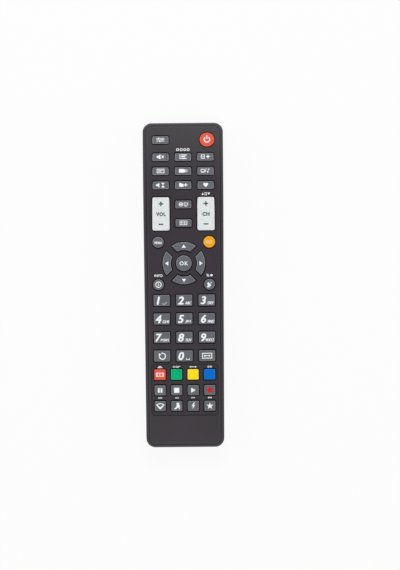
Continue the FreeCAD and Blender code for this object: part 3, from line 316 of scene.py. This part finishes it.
def cell_sleeve(name, ends):
    """A zinc-carbon cell: a shiny shrunk plastic sleeve in two plain colours, steel at both ends."""
    material, tree = new_material(name)
    place = add_node(tree, "ShaderNodeTexCoord").outputs["Object"]
    along = add_node(tree, "ShaderNodeSeparateXYZ", {"Vector": place}).outputs["Y"]
    low, high = ends
    share = add_node(tree, "ShaderNodeMapRange", {"Value": along, "From Min": low, "From Max": high})
    steel = "#b9bbbd"
    bands = coloured_by(tree, share.outputs["Result"], [
        (0.0, steel), (0.03, "#2b3d52"), (0.68, "#c9ced3"), (0.71, "#8a9097"), (0.96, steel)], "CONSTANT")
    film = grain(tree, size=2.0)
    surface(tree, shaded(tree, bands, film, 0.04), film, roughness=(0.24, 0.34), depth=0.01,
           others={"Metallic": 0.3})
    return material


# Rounded rectangles, in millimetres, along whose edges painted highlights and painted shade lines are drawn
# on the plastic; inside the thumb scoop the plastic is painted lighter.
face_outline = {"half_width": 26.2, "half_length": 107.5, "corner": 6.0, "widening": 0.00465}
face_panel = {"half_width": 21.95, "half_length": 16.85, "corner": 2.0, "middle": -69.45}
back_strip = {"half_width": 13.9, "half_length": 100.1, "corner": 2.5}
door_outline = {"half_width": 13.65, "half_length": 28.4, "corner": 3.0, "middle": -59.9}
foot_rib = {"half_width": 11.0, "half_length": 1.0, "corner": 0.9, "middle": 97.0}
thumb_scoop = {"half_width": 7.3, "half_length": 2.55, "corner": 0.3, "middle": -97.9}

# Colours by steepness, painted light and shade: upright walls darker, flat faces lighter.
face_painted_shading = [(0.0, "#2b282c"), (0.55, "#2d2a2e"), (0.93, "#302c31"), (0.975, "#332e34")]
face_edges = [
    (face_outline, [(0.0, 1.0), (RIM - 0.45, 0.9), (RIM - 0.1, 0.3), (RIM + 0.2, 0.5), (RIM + 0.4, 1.45),
                    (RIM + 0.8, 1.3), (RIM + 1.3, 1.0)]),
    (face_panel, [(-0.8, 1.0), (-0.45, 1.1), (-0.15, 0.35), (0.25, 0.35), (0.6, 0.88), (1.0, 0.88)]),
]
back_painted_shading = [(0.0, "#3f3e43"), (0.35, "#5a595f"), (0.8, "#5a595f"), (0.97, "#48434a")]
back_edges = [
    (back_strip, [(-0.9, 1.0), (-0.5, 1.15), (-0.2, 0.8), (0.3, 0.62), (0.8, 0.9), (1.4, 1.0)]),
    (door_outline, [(-0.6, 1.0), (-0.3, 0.25), (0.05, 0.25), (0.3, 1.3), (0.7, 1.25), (1.1, 1.0)]),
    (foot_rib, [(-0.9, 1.0), (-0.5, 0.5), (-0.1, 0.5), (0.2, 1.7), (0.5, 1.95)]),
    (thumb_scoop, [(-0.3, 1.0), (0.0, 1.15), (0.2, 1.5), (0.5, 1.5)]),
]
latch_painted_shading = [(0.0, "#3f3e43"), (0.35, "#5d5c61"), (0.97, "#5d5c61")]

face_plastic = spark_eroded_abs("spark_eroded_abs_face", face_painted_shading, face_edges, face_outline, gloss=0.11)
back_plastic = spark_eroded_abs("spark_eroded_abs_back", back_painted_shading, back_edges)
node_material = {
    "upper_housing": face_plastic,
    "lower_housing": back_plastic,
    "battery_door": back_plastic,
    "door_latch": spark_eroded_abs("spark_eroded_abs_latch", latch_painted_shading, edges=[]),
    "keypad_mat": silicone("moulded_silicone", "#2a2a2d"),
    "circuit_board": solder_mask("solder_mask_on_laminate"),
    "board_components": moulded_epoxy("filled_black_epoxy", "#17171a"),
    "ir_led": tinted_clear_epoxy("tinted_clear_epoxy", "#9d96a6"),
    "contact_springs": bright_metal("nickelled_spring_wire", "#c3c1bb", scratch=0.3, roughness=(0.22, 0.34)),
    "contact_plates": bright_metal("nickelled_steel_sheet", "#c9c7c1", scratch=0.5, roughness=(0.26, 0.4)),
}
# The fourth colour of a bright key is painted shade, a dark shade of its own colour in the gap round it.
key_plastic = {
    "key_grey": satin_key_plastic("satin_abs_grey", "#606369", "#94959a"),
    "key_white": satin_key_plastic("satin_abs_white", "#dde1e2", "#e6e9e9"),
    "key_red": satin_key_plastic("satin_abs_red", "#e25842", "#ee7b66", "#7c1710", BRIGHT_GLOSS),
    "key_orange": satin_key_plastic("satin_abs_orange", "#f3a524", "#f8bc58", "#6a3a08", BRIGHT_GLOSS),
    "key_green": satin_key_plastic("satin_abs_green", "#00ac72", "#4ccb9a", "#0a3a26", BRIGHT_GLOSS),
    "key_yellow": satin_key_plastic("satin_abs_yellow", "#fbdd20", "#fcec70", "#4a420c", BRIGHT_GLOSS),
    "key_blue": satin_key_plastic("satin_abs_blue", "#0069c9", "#4090e2", "#0a2448", BRIGHT_GLOSS),
}
white_ink = printed_ink("white_pad_print", "#f4f4f6")
cream_ink = printed_ink("cream_pad_print", "#fff1cf")
grey_ink = printed_ink("dark_grey_pad_print", "#3c3f42")
red_ink = printed_ink("red_pad_print", "#c40e18")


def lowest_top(name):
    """The lowest height of a key's upper side, which follows the bowed face."""
    mesh = nodes[name].data
    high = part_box(name)[1].z
    deepest = 2.0 * MM  # the rim of a key, under the face, lies deeper
    flat = 0.9  # the upright part of its normal, on the upper side
    top = [face for face in mesh.polygons if face.normal.z > flat and high - face.center.z < deepest]
    return min(mesh.vertices[index].co.z for face in top for index in face.vertices)


def dress_nodes():
    """Gives every node of the frame the material of its real finish."""
    slots = {part["node"]: part["material_slot"] for part in frame["record"]["subparts"]}
    for name, piece in nodes.items():
        if slots[name] in key_plastic:
            material = key_plastic[slots[name]]
            # Below this height the key is painted dark, as the shade in the gap round it.
            piece["cap_foot"] = lowest_top(name) - CAP_EDGE * MM
        elif name in node_material:
            material = node_material[name]
        else:  # the two cells, which lie the opposite way round
            low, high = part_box(name)
            ends = (low.y, high.y) if name == "battery_left" else (high.y, low.y)
            material = cell_sleeve(f"cell_sleeve_{name}", ends)
        piece.data.materials.clear()
        piece.data.materials.append(material)


# Marks that are printed on the keys and on the face. Outlines are in millimetres about the
# middle of what they are printed on. A mark is a list of outlines; an inner one is a hole.

INK_ABOVE = 0.045 * MM  # a film of ink stands this much above what it is printed on
INK_BELOW = 0.02 * MM  # and reaches this much into it
INK_LAYER = 0.003 * MM  # each mark of a picture lies this much above the one before
SAME_POINT = 0.002 * MM  # points of a mark that are nearer than this are one
ROUND_STEPS = 28  # points round a full circle


def arc(x, y, radius, start=0.0, end=360.0):
    """Points along an arc, in degrees."""
    steps = max(3, round(ROUND_STEPS * abs(end - start) / 360))
    angles = [math.radians(start + (end - start) * step / steps) for step in range(steps + 1)]
    return [(x + radius * math.cos(angle), y + radius * math.sin(angle)) for angle in angles]


def disc(x, y, radius):
    return [arc(x, y, radius)[:-1]]


def ring(x, y, outer, inner):
    return [arc(x, y, outer)[:-1], arc(x, y, inner)[:-1]]


def band(x, y, outer, inner, start, end):
    """A part of a ring."""
    return [arc(x, y, outer, start, end) + arc(x, y, inner, end, start)]


def bar(x_low, y_low, x_high, y_high):
    return [[(x_low, y_low), (x_high, y_low), (x_high, y_high), (x_low, y_high)]]


def frame_of(half_width, half_height, line, x=0.0, y=0.0):
    """A rectangle's outline of the given line width."""
    outer = bar(x - half_width, y - half_height, x + half_width, y + half_height)
    half_width -= line
    half_height -= line
    inner = bar(x - half_width, y - half_height, x + half_width, y + half_height)
    return outer + inner


def stroke(x_from, y_from, x_to, y_to, width):
    """A straight line with square ends."""
    length = math.hypot(x_to - x_from, y_to - y_from)
    aside = ((y_from - y_to) / length * width / 2, (x_to - x_from) / length * width / 2)
    corners = [(x_from, y_from, 1), (x_to, y_to, 1), (x_to, y_to, -1), (x_from, y_from, -1)]
    return [[(x + side * aside[0], y + side * aside[1]) for x, y, side in corners]]


def triangle(x, y, width, height, turn=0.0):
    """An arrow head that points along turn degrees, centred on x, y."""
    corners = [(height / 2, 0), (-height / 2, width / 2), (-height / 2, -width / 2)]
    cosine, sine = math.cos(math.radians(turn)), math.sin(math.radians(turn))
    return [[(x + u * cosine - v * sine, y + u * sine + v * cosine) for u, v in corners]]


def plus(x, y, size, width):
    half, thin = size / 2, width / 2
    corners = [(-half, -thin), (-thin, -thin), (-thin, -half), (thin, -half), (thin, -thin), (half, -thin),
               (half, thin), (thin, thin), (thin, half), (-thin, half), (-thin, thin), (-half, thin)]
    return [[(x + u, y + v) for u, v in corners]]


def star(x, y, outer, inner, points=5):
    corners = []
    for step in range(2 * points):
        radius = inner if step % 2 else outer
        angle = math.pi / 2 + step * math.pi / points
        corners.append((x + radius * math.cos(angle), y + radius * math.sin(angle)))
    return [corners]


def mesh_of(curve):
    """The mesh that a curve or a text makes."""
    holder = bpy.data.objects.new("holder", curve)
    bpy.context.collection.objects.link(holder)
    bpy.context.view_layer.update()
    ready = holder.evaluated_get(bpy.context.evaluated_depsgraph_get())
    mesh = bpy.data.meshes.new_from_object(ready)
    bpy.data.objects.remove(holder)
    return mesh


def outline_mesh(outlines):
    """A thin filled mesh of one mark."""
    curve = bpy.data.curves.new("mark", "CURVE")
    curve.dimensions = "2D"
    curve.fill_mode = "BOTH"
    curve.extrude = INK_ABOVE
    for points in outlines:
        spline = curve.splines.new("POLY")
        spline.points.add(len(points) - 1)
        spline.use_cyclic_u = True
        for point, (x, y) in zip(spline.points, points):
            point.co = (x * MM, y * MM, 0, 1)
    return mesh_of(curve)


def lettering(text, height, x=0.0, y=0.0, width=None, slant=0.0, weight=0.02, spacing=1.0):
    """Letters of the given height in millimetres, centred on x, y; width stretches them."""
    curve = bpy.data.curves.new("letters", "FONT")
    curve.body = text
    curve.size = 1.0
    curve.shear = slant
    curve.offset = weight
    curve.space_character = spacing
    curve.resolution_u = 4
    curve.extrude = 0.01  # gives an upper and a lower side; their heights are set below
    mesh = mesh_of(curve)
    xs = [vertex.co.x for vertex in mesh.vertices]
    ys = [vertex.co.y for vertex in mesh.vertices]
    tall = height * MM / (max(ys) - min(ys))
    wide = width * MM / (max(xs) - min(xs)) if width else tall
    middle_x = (max(xs) + min(xs)) / 2
    middle_y = (max(ys) + min(ys)) / 2
    for vertex in mesh.vertices:
        vertex.co.x = (vertex.co.x - middle_x) * wide + x * MM
        vertex.co.y = (vertex.co.y - middle_y) * tall + y * MM
        vertex.co.z = math.copysign(INK_ABOVE, vertex.co.z)
    return mesh


def struck_twice(text, height, x, y, width, apart, slant=0.0, weight=0.0):
    """Bold letters. Their small openings would close up if the strokes were only made wider, so the
    letters are laid down twice, a little apart."""
    each_width = width - apart if width else None
    return [lettering(text, height, x + aside, y, each_width, slant, weight, spacing=1.05)
            for aside in (-apart / 2, apart / 2)]


def top_surface(name):
    """A search tree of a node's mesh, for the height of its upper side."""
    mesh = nodes[name].data
    points = [vertex.co for vertex in mesh.vertices]
    return BVHTree.FromPolygons(points, [face.vertices for face in mesh.polygons])


def print_marks(node, marks, ink, centre=None, name=None):
    """Lays marks on the upper side of a node as a film of ink that rides with it. Without a centre,
    they are about the middle of the node."""
    low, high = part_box(node)
    middle = centre or (low + high) / 2
    tree = top_surface(node)
    above = Vector((0, 0, 1))
    whole = bmesh.new()
    for layer, mark in enumerate(marks):
        film = mark if isinstance(mark, bpy.types.Mesh) else outline_mesh(mark)
        shape = bmesh.new()
        shape.from_mesh(film)
        bmesh.ops.remove_doubles(shape, verts=shape.verts, dist=SAME_POINT)
        bmesh.ops.recalc_face_normals(shape, faces=shape.faces)
        for vertex in shape.verts:
            vertex.co.x += middle.x
            vertex.co.y += middle.y
            spot = tree.ray_cast(Vector((vertex.co.x, vertex.co.y, high.z)) + above, -above)[0]
            height = spot.z if spot else high.z
            vertex.co.z = height + (INK_ABOVE + layer * INK_LAYER if vertex.co.z > 0 else -INK_BELOW)
        shape.to_mesh(film)
        shape.free()
        whole.from_mesh(film)
        bpy.data.meshes.remove(film)
    name = name or f"print_{node}"
    mesh = bpy.data.meshes.new(name)
    whole.to_mesh(mesh)
    whole.free()
    mesh.materials.append(ink)
    piece = bpy.data.objects.new(name, mesh)
    bpy.context.collection.objects.link(piece)
    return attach(piece, node_body[node])


# Pictures for the keys.


def power_picture():
    return [band(0, 0, outer=2.2, inner=1.5, start=128, end=412), bar(-0.34, 0.3, 0.34, 2.75)]


def speaker(x, y, size):
    """A loudspeaker seen from the side, open to the right."""
    corners = [(-0.5, -0.2), (-0.22, -0.2), (0.2, -0.5), (0.2, 0.5), (-0.22, 0.2), (-0.5, 0.2)]
    return [[(x + u * size, y + v * size) for u, v in corners]]


def mute_picture():
    return [speaker(-0.7, 0, 3.5), stroke(0.7, -0.9, 2.2, 0.9, 0.5), stroke(0.7, 0.9, 2.2, -0.9, 0.5)]


def sliders_picture():
    marks = []
    for y, knob in ((0.95, -1.2), (0.0, 1.1), (-0.95, -0.3)):
        marks.append(bar(-2.6, y - 0.17, 2.6, y + 0.17))
        marks.append(disc(knob, y, 0.48))
    return marks


def rows_picture():
    """Three rows of short bars, like a programme list."""
    marks = []
    for row in range(3):
        y = 1.15 - 1.15 * row
        marks.append(bar(-2.4, y - 0.33, -1.5, y + 0.33))
        marks.append(bar(-1.1, y - 0.33, 2.4 - 0.7 * (row % 2), y + 0.33))
    return marks


def page_picture():
    return [frame_of(2.5, 1.45, 0.42), bar(-1.6, 0.22, 1.6, 0.6), bar(-1.6, -0.6, 0.5, -0.22)]


def sheet_plus_picture():
    return [frame_of(1.25, 1.35, 0.42, -1.7), bar(-2.3, -0.2, -1.1, 0.2), plus(1.7, 0, 2.5, 0.6)]


def stick_picture():
    """A memory stick: body, plug and its two contacts."""
    contacts = [bar(1.5, 0.12, 2.0, 0.4), bar(1.5, -0.4, 2.0, -0.12)]
    return [bar(-2.7, -1.2, 0.9, 1.2), frame_of(0.95, 0.8, 0.32, 1.85)] + contacts


def set_and_note_picture():
    """A television set, a slash and a note."""
    television = [frame_of(1.35, 1.0, 0.4, -1.85, 0.1), bar(-2.6, -1.35, -1.1, -1.0)]
    slash = stroke(-0.5, -1.3, 0.5, 1.4, 0.38)
    note = [disc(1.35, -0.85, 0.5), bar(1.55, -0.85, 1.85, 1.3), stroke(1.7, 1.15, 2.8, 0.75, 0.45)]
    return television + [slash] + note


def sleep_picture():
    """A loudspeaker and an hourglass."""
    sand = [triangle(1.5, 0.62, 1.9, 1.2, -90), triangle(1.5, -0.62, 1.9, 1.2, 90)]
    lids = [bar(0.45, 1.2, 2.55, 1.5), bar(0.45, -1.5, 2.55, -1.2)]
    return [speaker(-1.5, 0, 3.1)] + sand + lids


def folder_plus_picture():
    folder = [[(-2.6, -1.2), (0.2, -1.2), (0.2, 0.8), (-1.0, 0.8), (-1.3, 1.25), (-2.6, 1.25)]]
    return [folder, plus(1.7, 0, 2.2, 0.6)]


def heart_picture():
    left = arc(-0.78, 0.5, radius=0.82, start=0, end=215)
    right = arc(0.78, 0.5, radius=0.82, start=-35, end=180)
    return [[[(0.0, -1.6)] + right + left[1:]]]


def globe_picture():
    """A globe and a screen."""
    globe = [ring(-1.6, 0, 1.35, 0.98), bar(-2.7, -0.16, -0.5, 0.16), ring(-1.6, 0, 0.62, 0.36)]
    screen = [frame_of(1.35, 0.95, 0.38, 1.65, 0.15), bar(0.9, -1.35, 2.4, -1.02)]
    return globe + screen


def grid_picture():
    marks = [frame_of(2.5, 1.45, 0.38), bar(-2.3, -0.15, 2.3, 0.17)]
    marks += [bar(x - 0.17, -1.3, x + 0.17, 1.3) for x in (-1.2, 0.6)]
    return marks


def info_picture():
    return [ring(0, 0, outer=2.05, inner=1.5), bar(-0.27, -0.9, 0.27, 0.3), disc(0, 0.85, 0.33)]


def dish_picture():
    """A dish aerial on its foot, with its receiver on an arm in front of it."""
    bowl = [arc(0.15, 0.35, radius=1.55, start=130, end=310)]
    foot = [[(-0.95, -0.7), (0.35, -1.95), (-1.95, -1.95)]]
    return [bowl, foot, stroke(0.1, 0.3, 1.05, 1.1, 0.26), disc(1.2, 1.25, 0.36)]


def recall_picture():
    turned_back = band(0.2, -0.1, outer=2.3, inner=1.65, start=-190, end=112)
    return [turned_back, triangle(-1.75, 0.75, 1.9, 1.6, turn=235)]


def wide_picture():
    """A wide screen with arrows to its sides."""
    marks = [frame_of(3.3, 1.85, 0.5)]
    marks += [triangle(side * 1.75, 0, 1.6, 1.2, 90 - 90 * side) for side in (-1, 1)]
    marks.append(bar(-1.2, -0.22, 1.2, 0.22))
    return marks


def film_picture():
    marks = [frame_of(2.6, 1.25, 0.4), triangle(0.05, 0, 1.2, 1.1)]
    marks += [bar(side * 1.75 - 0.2, -0.8, side * 1.75 + 0.2, 0.8) for side in (-1, 1)]
    return marks


def fan_picture():
    """A fan that opens upwards, outlined, and filled at its foot."""
    foot = (0, -2.3)
    outer = [foot] + arc(*foot, radius=4.2, start=48, end=132)
    inner = [(0, -0.6)] + arc(*foot, radius=3.65, start=57, end=123)
    return [[outer, inner]]


def boot_picture():
    leg = [(-0.2, 2.15), (1.5, 2.15), (1.55, 0.9), (2.1, 0.1)]
    heel = [(1.9, -1.0), (2.15, -2.1), (1.65, -2.15), (1.25, -1.15)]
    sole_and_toe = [(0.6, -0.9), (-0.3, -1.95), (-1.0, -2.1), (-2.15, -2.0)]
    instep = [(-1.5, -1.55), (-0.4, -0.6), (0.0, 0.6)]
    return [[leg + heel + sole_and_toe + instep]]


def bolt_picture():
    """A lightning bolt."""
    left_side = [(0.3, 2.25), (-1.1, -0.2), (-0.15, -0.2), (-0.75, -2.25)]
    right_side = [(1.15, 0.5), (0.2, 0.5), (1.0, 2.25)]
    return [[left_side + right_side]]


white_pictures = {
    "option_key": sliders_picture(),
    "mute_key": mute_picture(),
    "function_key_a2": rows_picture(),
    "function_key_a3": sheet_plus_picture(),
    "function_key_b1": page_picture(),
    "function_key_b2": stick_picture(),
    "function_key_b3": set_and_note_picture(),
    "function_key_c1": sleep_picture(),
    "function_key_c2": folder_plus_picture(),
    "function_key_c3": heart_picture(),
    "network_key": globe_picture(),
    "guide_key": grid_picture(),
    "power_key": power_picture(),
    "info_key": info_picture(),
    "satellite_key": dish_picture(),
    "recall_key": recall_picture(),
    "format_key": wide_picture(),
    "red_key": film_picture(),
    "shortcut_key_1": fan_picture(),
    "shortcut_key_2": boot_picture(),
    "shortcut_key_3": bolt_picture(),
    "shortcut_key_4": [star(0, -0.1, 2.35, 0.95)],
    "pause_key": [bar(-1.45, -1.5, -0.3, 1.5), bar(0.3, -1.5, 1.45, 1.5)],
    "stop_key": [bar(-1.7, -1.65, 1.7, 1.65)],
    "play_key": [triangle(0.1, 0, 3.2, 2.9)],
}


def print_keys():
    for name, marks in white_pictures.items():
        print_marks(name, marks, white_ink)
    print_marks("record_key", [disc(0, 0, 1.8)], red_ink)
    arrows = {"right_key": 0, "up_key": 90, "left_key": 180, "down_key": 270}
    pad = (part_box("ok_key")[0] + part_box("ok_key")[1]) / 2
    arrow_reach = 11.3
    for name, turn in arrows.items():
        angle = math.radians(turn)
        spot = (arrow_reach * math.cos(angle), arrow_reach * math.sin(angle))
        print_marks(name, [triangle(*spot, 2.85, 2.1, turn)], white_ink, pad)
    print_marks("ok_key", [lettering("OK", 2.7, width=5.6, spacing=1.2)], white_ink)
    print_marks("menu_key", struck_twice("MENU", 1.65, 0, -0.3, 4.7, apart=0.16), white_ink)
    print_marks("exit_key", [lettering("EXIT", 1.6, width=4.1, weight=0.0)], cream_ink)


def print_rockers():
    for name, word, width in (("volume_rocker", "VOL", 6.4), ("channel_rocker", "CH", 4.7)):
        marks = [plus(0, 6.5, 3.0, 0.8), bar(-1.6, -7.3, 1.6, -6.5)]
        marks.append(lettering(word, 2.6, 0, -0.3, width, weight=0.05, spacing=1.15))
        print_marks(name, marks, grey_ink)


def print_numbers():
    """Slanted digits on the left of the keys, with the letters of a telephone beside them."""
    telephone = {2: "ABC", 3: "DEF", 4: "GHI", 5: "JKL", 6: "MNO", 7: "PQRS", 8: "TUV", 9: "WXYZ"}
    digit_height, digit_x, digit_y = 5.3, -2.2, -0.1
    letter_height, letter_width, letter_y, right_edge = 1.9, 1.42, -1.8, 4.75
    slant, apart = 0.2, 0.2
    dot_and_strokes = [disc(0.6, -2.3, 0.24), stroke(1.2, -2.4, 2.3, -2.4, 0.32)]
    dot_and_strokes.append(stroke(2.7, -1.9, 3.2, -1.2, 0.36))
    space_sign = [bar(0.9, -2.5, 3.4, -2.1), bar(0.9, -2.1, 1.3, -1.6), bar(3.0, -2.1, 3.4, -1.6)]
    for digit in range(10):
        marks = struck_twice(str(digit), digit_height, digit_x, digit_y, None, apart, slant, weight=0.02)
        if digit in telephone:
            letters = telephone[digit]
            width = letter_width * len(letters)
            middle_x = right_edge - width / 2
            marks += struck_twice(letters, letter_height, middle_x, letter_y, width, apart, slant)
        else:
            marks += dot_and_strokes if digit == 1 else space_sign
        print_marks(f"number_key_{digit}", marks, white_ink)


def shifted(marks, x, y):
    """Marks of plain outlines, moved."""
    return [[[(u + x, v + y) for u, v in outline] for outline in mark] for mark in marks]


def print_face():
    """Small signs on the face of the handset, above or under the keys that they belong to."""
    middle = {name: (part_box(name)[0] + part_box(name)[1]) / (2 * MM) for name in nodes}
    top = {name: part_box(name)[1].y / MM for name in nodes}
    flange = 1.4  # the rim of a key under the face, which its box takes in
    marks = []

    def above(name, gap, signs):
        marks.extend(shifted(signs, middle[name].x, top[name] - flange + gap))

    above_keys = 2.3
    above_rocker = 2.0
    above_colours = 1.35
    four_rings = [ring(x, 0, 0.95, 0.5) for x in (-3.45, -1.15, 1.15, 3.45)]
    waves = [band(-1.9, -0.8, radius, radius - 0.35, 0, 90) for radius in (0.7, 1.25, 1.8)]
    above("function_key_a2", above_keys, four_rings)
    above("channel_rocker", above_rocker, [triangle(-2.0, 0, 1.7, 1.5, 90), triangle(2.0, 0, 1.7, 1.5, -90),
                                           frame_of(0.75, 0.95, 0.32)])
    above("satellite_key", above_keys, waves + [disc(1.3, 0, 0.75)])
    above("red_key", above_colours, [band(0, -0.5, 1.15, 0.75, 0, 180), bar(-1.7, -0.65, 1.7, -0.35),
                                     disc(0, -0.1, 0.35)])
    above("green_key", above_colours, [ring(-1.8, 0, 0.65, 0.4), bar(-0.7, 0.2, 2.4, 0.5),
                                       bar(-0.7, -0.5, 1.5, -0.2)])
    above("yellow_key", above_colours, [triangle(-1.9, 0, 1.2, 1.1, 180), triangle(1.9, 0, 1.2, 1.1),
                                        bar(-1.4, -0.2, 1.4, 0.2)])
    above("blue_key", above_colours, [ring(-0.75, 0, 0.65, 0.36), ring(0.8, 0, 0.65, 0.36)])
    back = triangle(0, 0, 1.1, 1.0, 180)
    ahead = triangle(0, 0, 1.1, 1.0)
    row = {
        "pause_key": [bar(-1.2, -0.55, -0.9, 0.55)] + shifted([back], -0.35, 0) + shifted([back], 0.65, 0),
        "stop_key": shifted([back], -0.65, 0) + shifted([back], 0.65, 0),
        "play_key": shifted([ahead], -0.65, 0) + shifted([ahead], 0.65, 0),
        "record_key": shifted([ahead], -0.65, 0) + shifted([ahead], 0.35, 0) + [bar(0.9, -0.55, 1.2, 0.55)],
    }
    under_media = 1.6
    for name, signs in row.items():
        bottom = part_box(name)[0].y / MM + flange
        marks.extend(shifted(signs, middle[name].x, bottom - under_media))
    origin = Vector((0, 0, 0))
    print_marks("upper_housing", marks, white_ink, origin, "print_face_signs")
    word = lettering("INFO", 1.7, middle["info_key"].x, top["info_key"] - flange + above_keys, 5.3)
    print_marks("upper_housing", [word], white_ink, origin, "print_face_info")


# Floor, light and camera.


def seen_directly(tree):
    """1 for rays from the camera, and for what gloss and clear pieces show of the backdrop."""
    rays = add_node(tree, "ShaderNodeLightPath").outputs
    seen = rays["Is Camera Ray"]
    for kind in ("Is Glossy Ray", "Is Transmission Ray"):
        either = add_node(tree, "ShaderNodeMath", {0: seen, 1: rays[kind]}, operation="MAXIMUM")
        seen = either.outputs["Value"]
    return seen


def pale_floor():
    """White floor that glows a little, like an opal sheet lit from behind, so that the back is lit as
    well. It shows as white, keeps the shadow of the handset, and can be seen through from below."""
    far = 6.0
    level = -0.2 * MM  # just clear of the back, so that the two surfaces aren't in one place
    corners = [(-far, -far, level), (far, -far, level), (far, far, level), (-far, far, level)]
    mesh = bpy.data.meshes.new("floor")
    mesh.from_pydata(corners, [], [(0, 1, 2, 3)])
    floor = bpy.data.objects.new("floor", mesh)
    bpy.context.collection.objects.link(floor)
    material, tree = new_material("white_paper")
    paper = add_node(tree, "ShaderNodeBsdfDiffuse", {"Color": "#eeeeee"})
    white = add_node(tree, "ShaderNodeEmission", {"Color": "#ffffff", "Strength": 1.0})
    glow_on_object, glow_in_view = 0.35, 0.88
    amount = add_node(tree, "ShaderNodeMapRange", {
        "Value": seen_directly(tree), "To Min": glow_on_object, "To Max": glow_in_view})
    sheet = add_node(tree, "ShaderNodeMixShader", {
        "Fac": amount.outputs["Result"], 1: paper.outputs["BSDF"], 2: white.outputs["Emission"]})
    below = add_node(tree, "ShaderNodeNewGeometry").outputs["Backfacing"]
    clear = add_node(tree, "ShaderNodeBsdfTransparent")
    mix = add_node(tree, "ShaderNodeMixShader", {
        "Fac": below, 1: sheet.outputs["Shader"], 2: clear.outputs["BSDF"]})
    add_node(tree, "ShaderNodeOutputMaterial", {"Surface": mix.outputs["Shader"]})
    mesh.materials.append(material)


def studio_world():
    """A dim white room round the handset, which shows as white."""
    world = bpy.data.worlds.new("studio")
    bpy.context.scene.world = world
    world.use_nodes = True
    tree = world.node_tree
    tree.nodes.clear()
    light_on_object, light_in_view = 0.42, 1.0
    strength = add_node(tree, "ShaderNodeMapRange", {
        "Value": seen_directly(tree), "To Min": light_on_object, "To Max": light_in_view})
    walls = add_node(tree, "ShaderNodeBackground", {
        "Color": "#ffffff", "Strength": strength.outputs["Result"]})
    add_node(tree, "ShaderNodeOutputWorld", {"Surface": walls.outputs["Background"]})


def soft_box(name, place, size, power):
    """A square lamp that looks at the handset."""
    lamp = bpy.data.lights.new(name, "AREA")
    lamp.energy = power
    lamp.size = size
    box = bpy.data.objects.new(name, lamp)
    box.location = place
    box.rotation_euler = (-Vector(place)).to_track_quat("-Z", "Y").to_euler()
    bpy.context.collection.objects.link(box)


def photo_camera():
    """Straight above the key face, turned a little, with the handset left of the middle."""
    photo_width, photo_height = 400, 570
    focal_pixels = 1071  # focal length, in pixels of the photo
    handset_column = 184.05  # the handset's middle, in pixels from the left edge
    lean = math.radians(-0.5)
    distance = 0.7045  # from the key face
    below_middle = 0.4 * MM
    camera = bpy.data.cameras.new("camera")
    sensor = camera.sensor_width
    camera.lens = sensor * focal_pixels / photo_height
    camera.shift_x = (photo_width / 2 - handset_column) / photo_height
    holder = bpy.data.objects.new("camera", camera)
    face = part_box("upper_housing")[1].z
    holder.location = (0, -below_middle, face + distance)
    holder.rotation_euler = (0, 0, lean)
    bpy.context.collection.objects.link(holder)
    bpy.context.scene.camera = holder


dress_nodes()
print_keys()
print_rockers()
print_numbers()
print_face()
pale_floor()
studio_world()
soft_box("nose_soft_box", place=(0.05, 0.75, 1.07), size=0.3, power=5.1)
soft_box("tail_soft_box", place=(-0.05, -0.44, 1.22), size=0.3, power=3.5)
soft_box("left_soft_box", place=(-1.0, 0.3, 0.8), size=0.6, power=2.4)
soft_box("right_soft_box", place=(1.0, 0.2, 0.7), size=0.6, power=1.6)
photo_camera()
bpy.context.scene.view_settings.view_transform = "Standard"
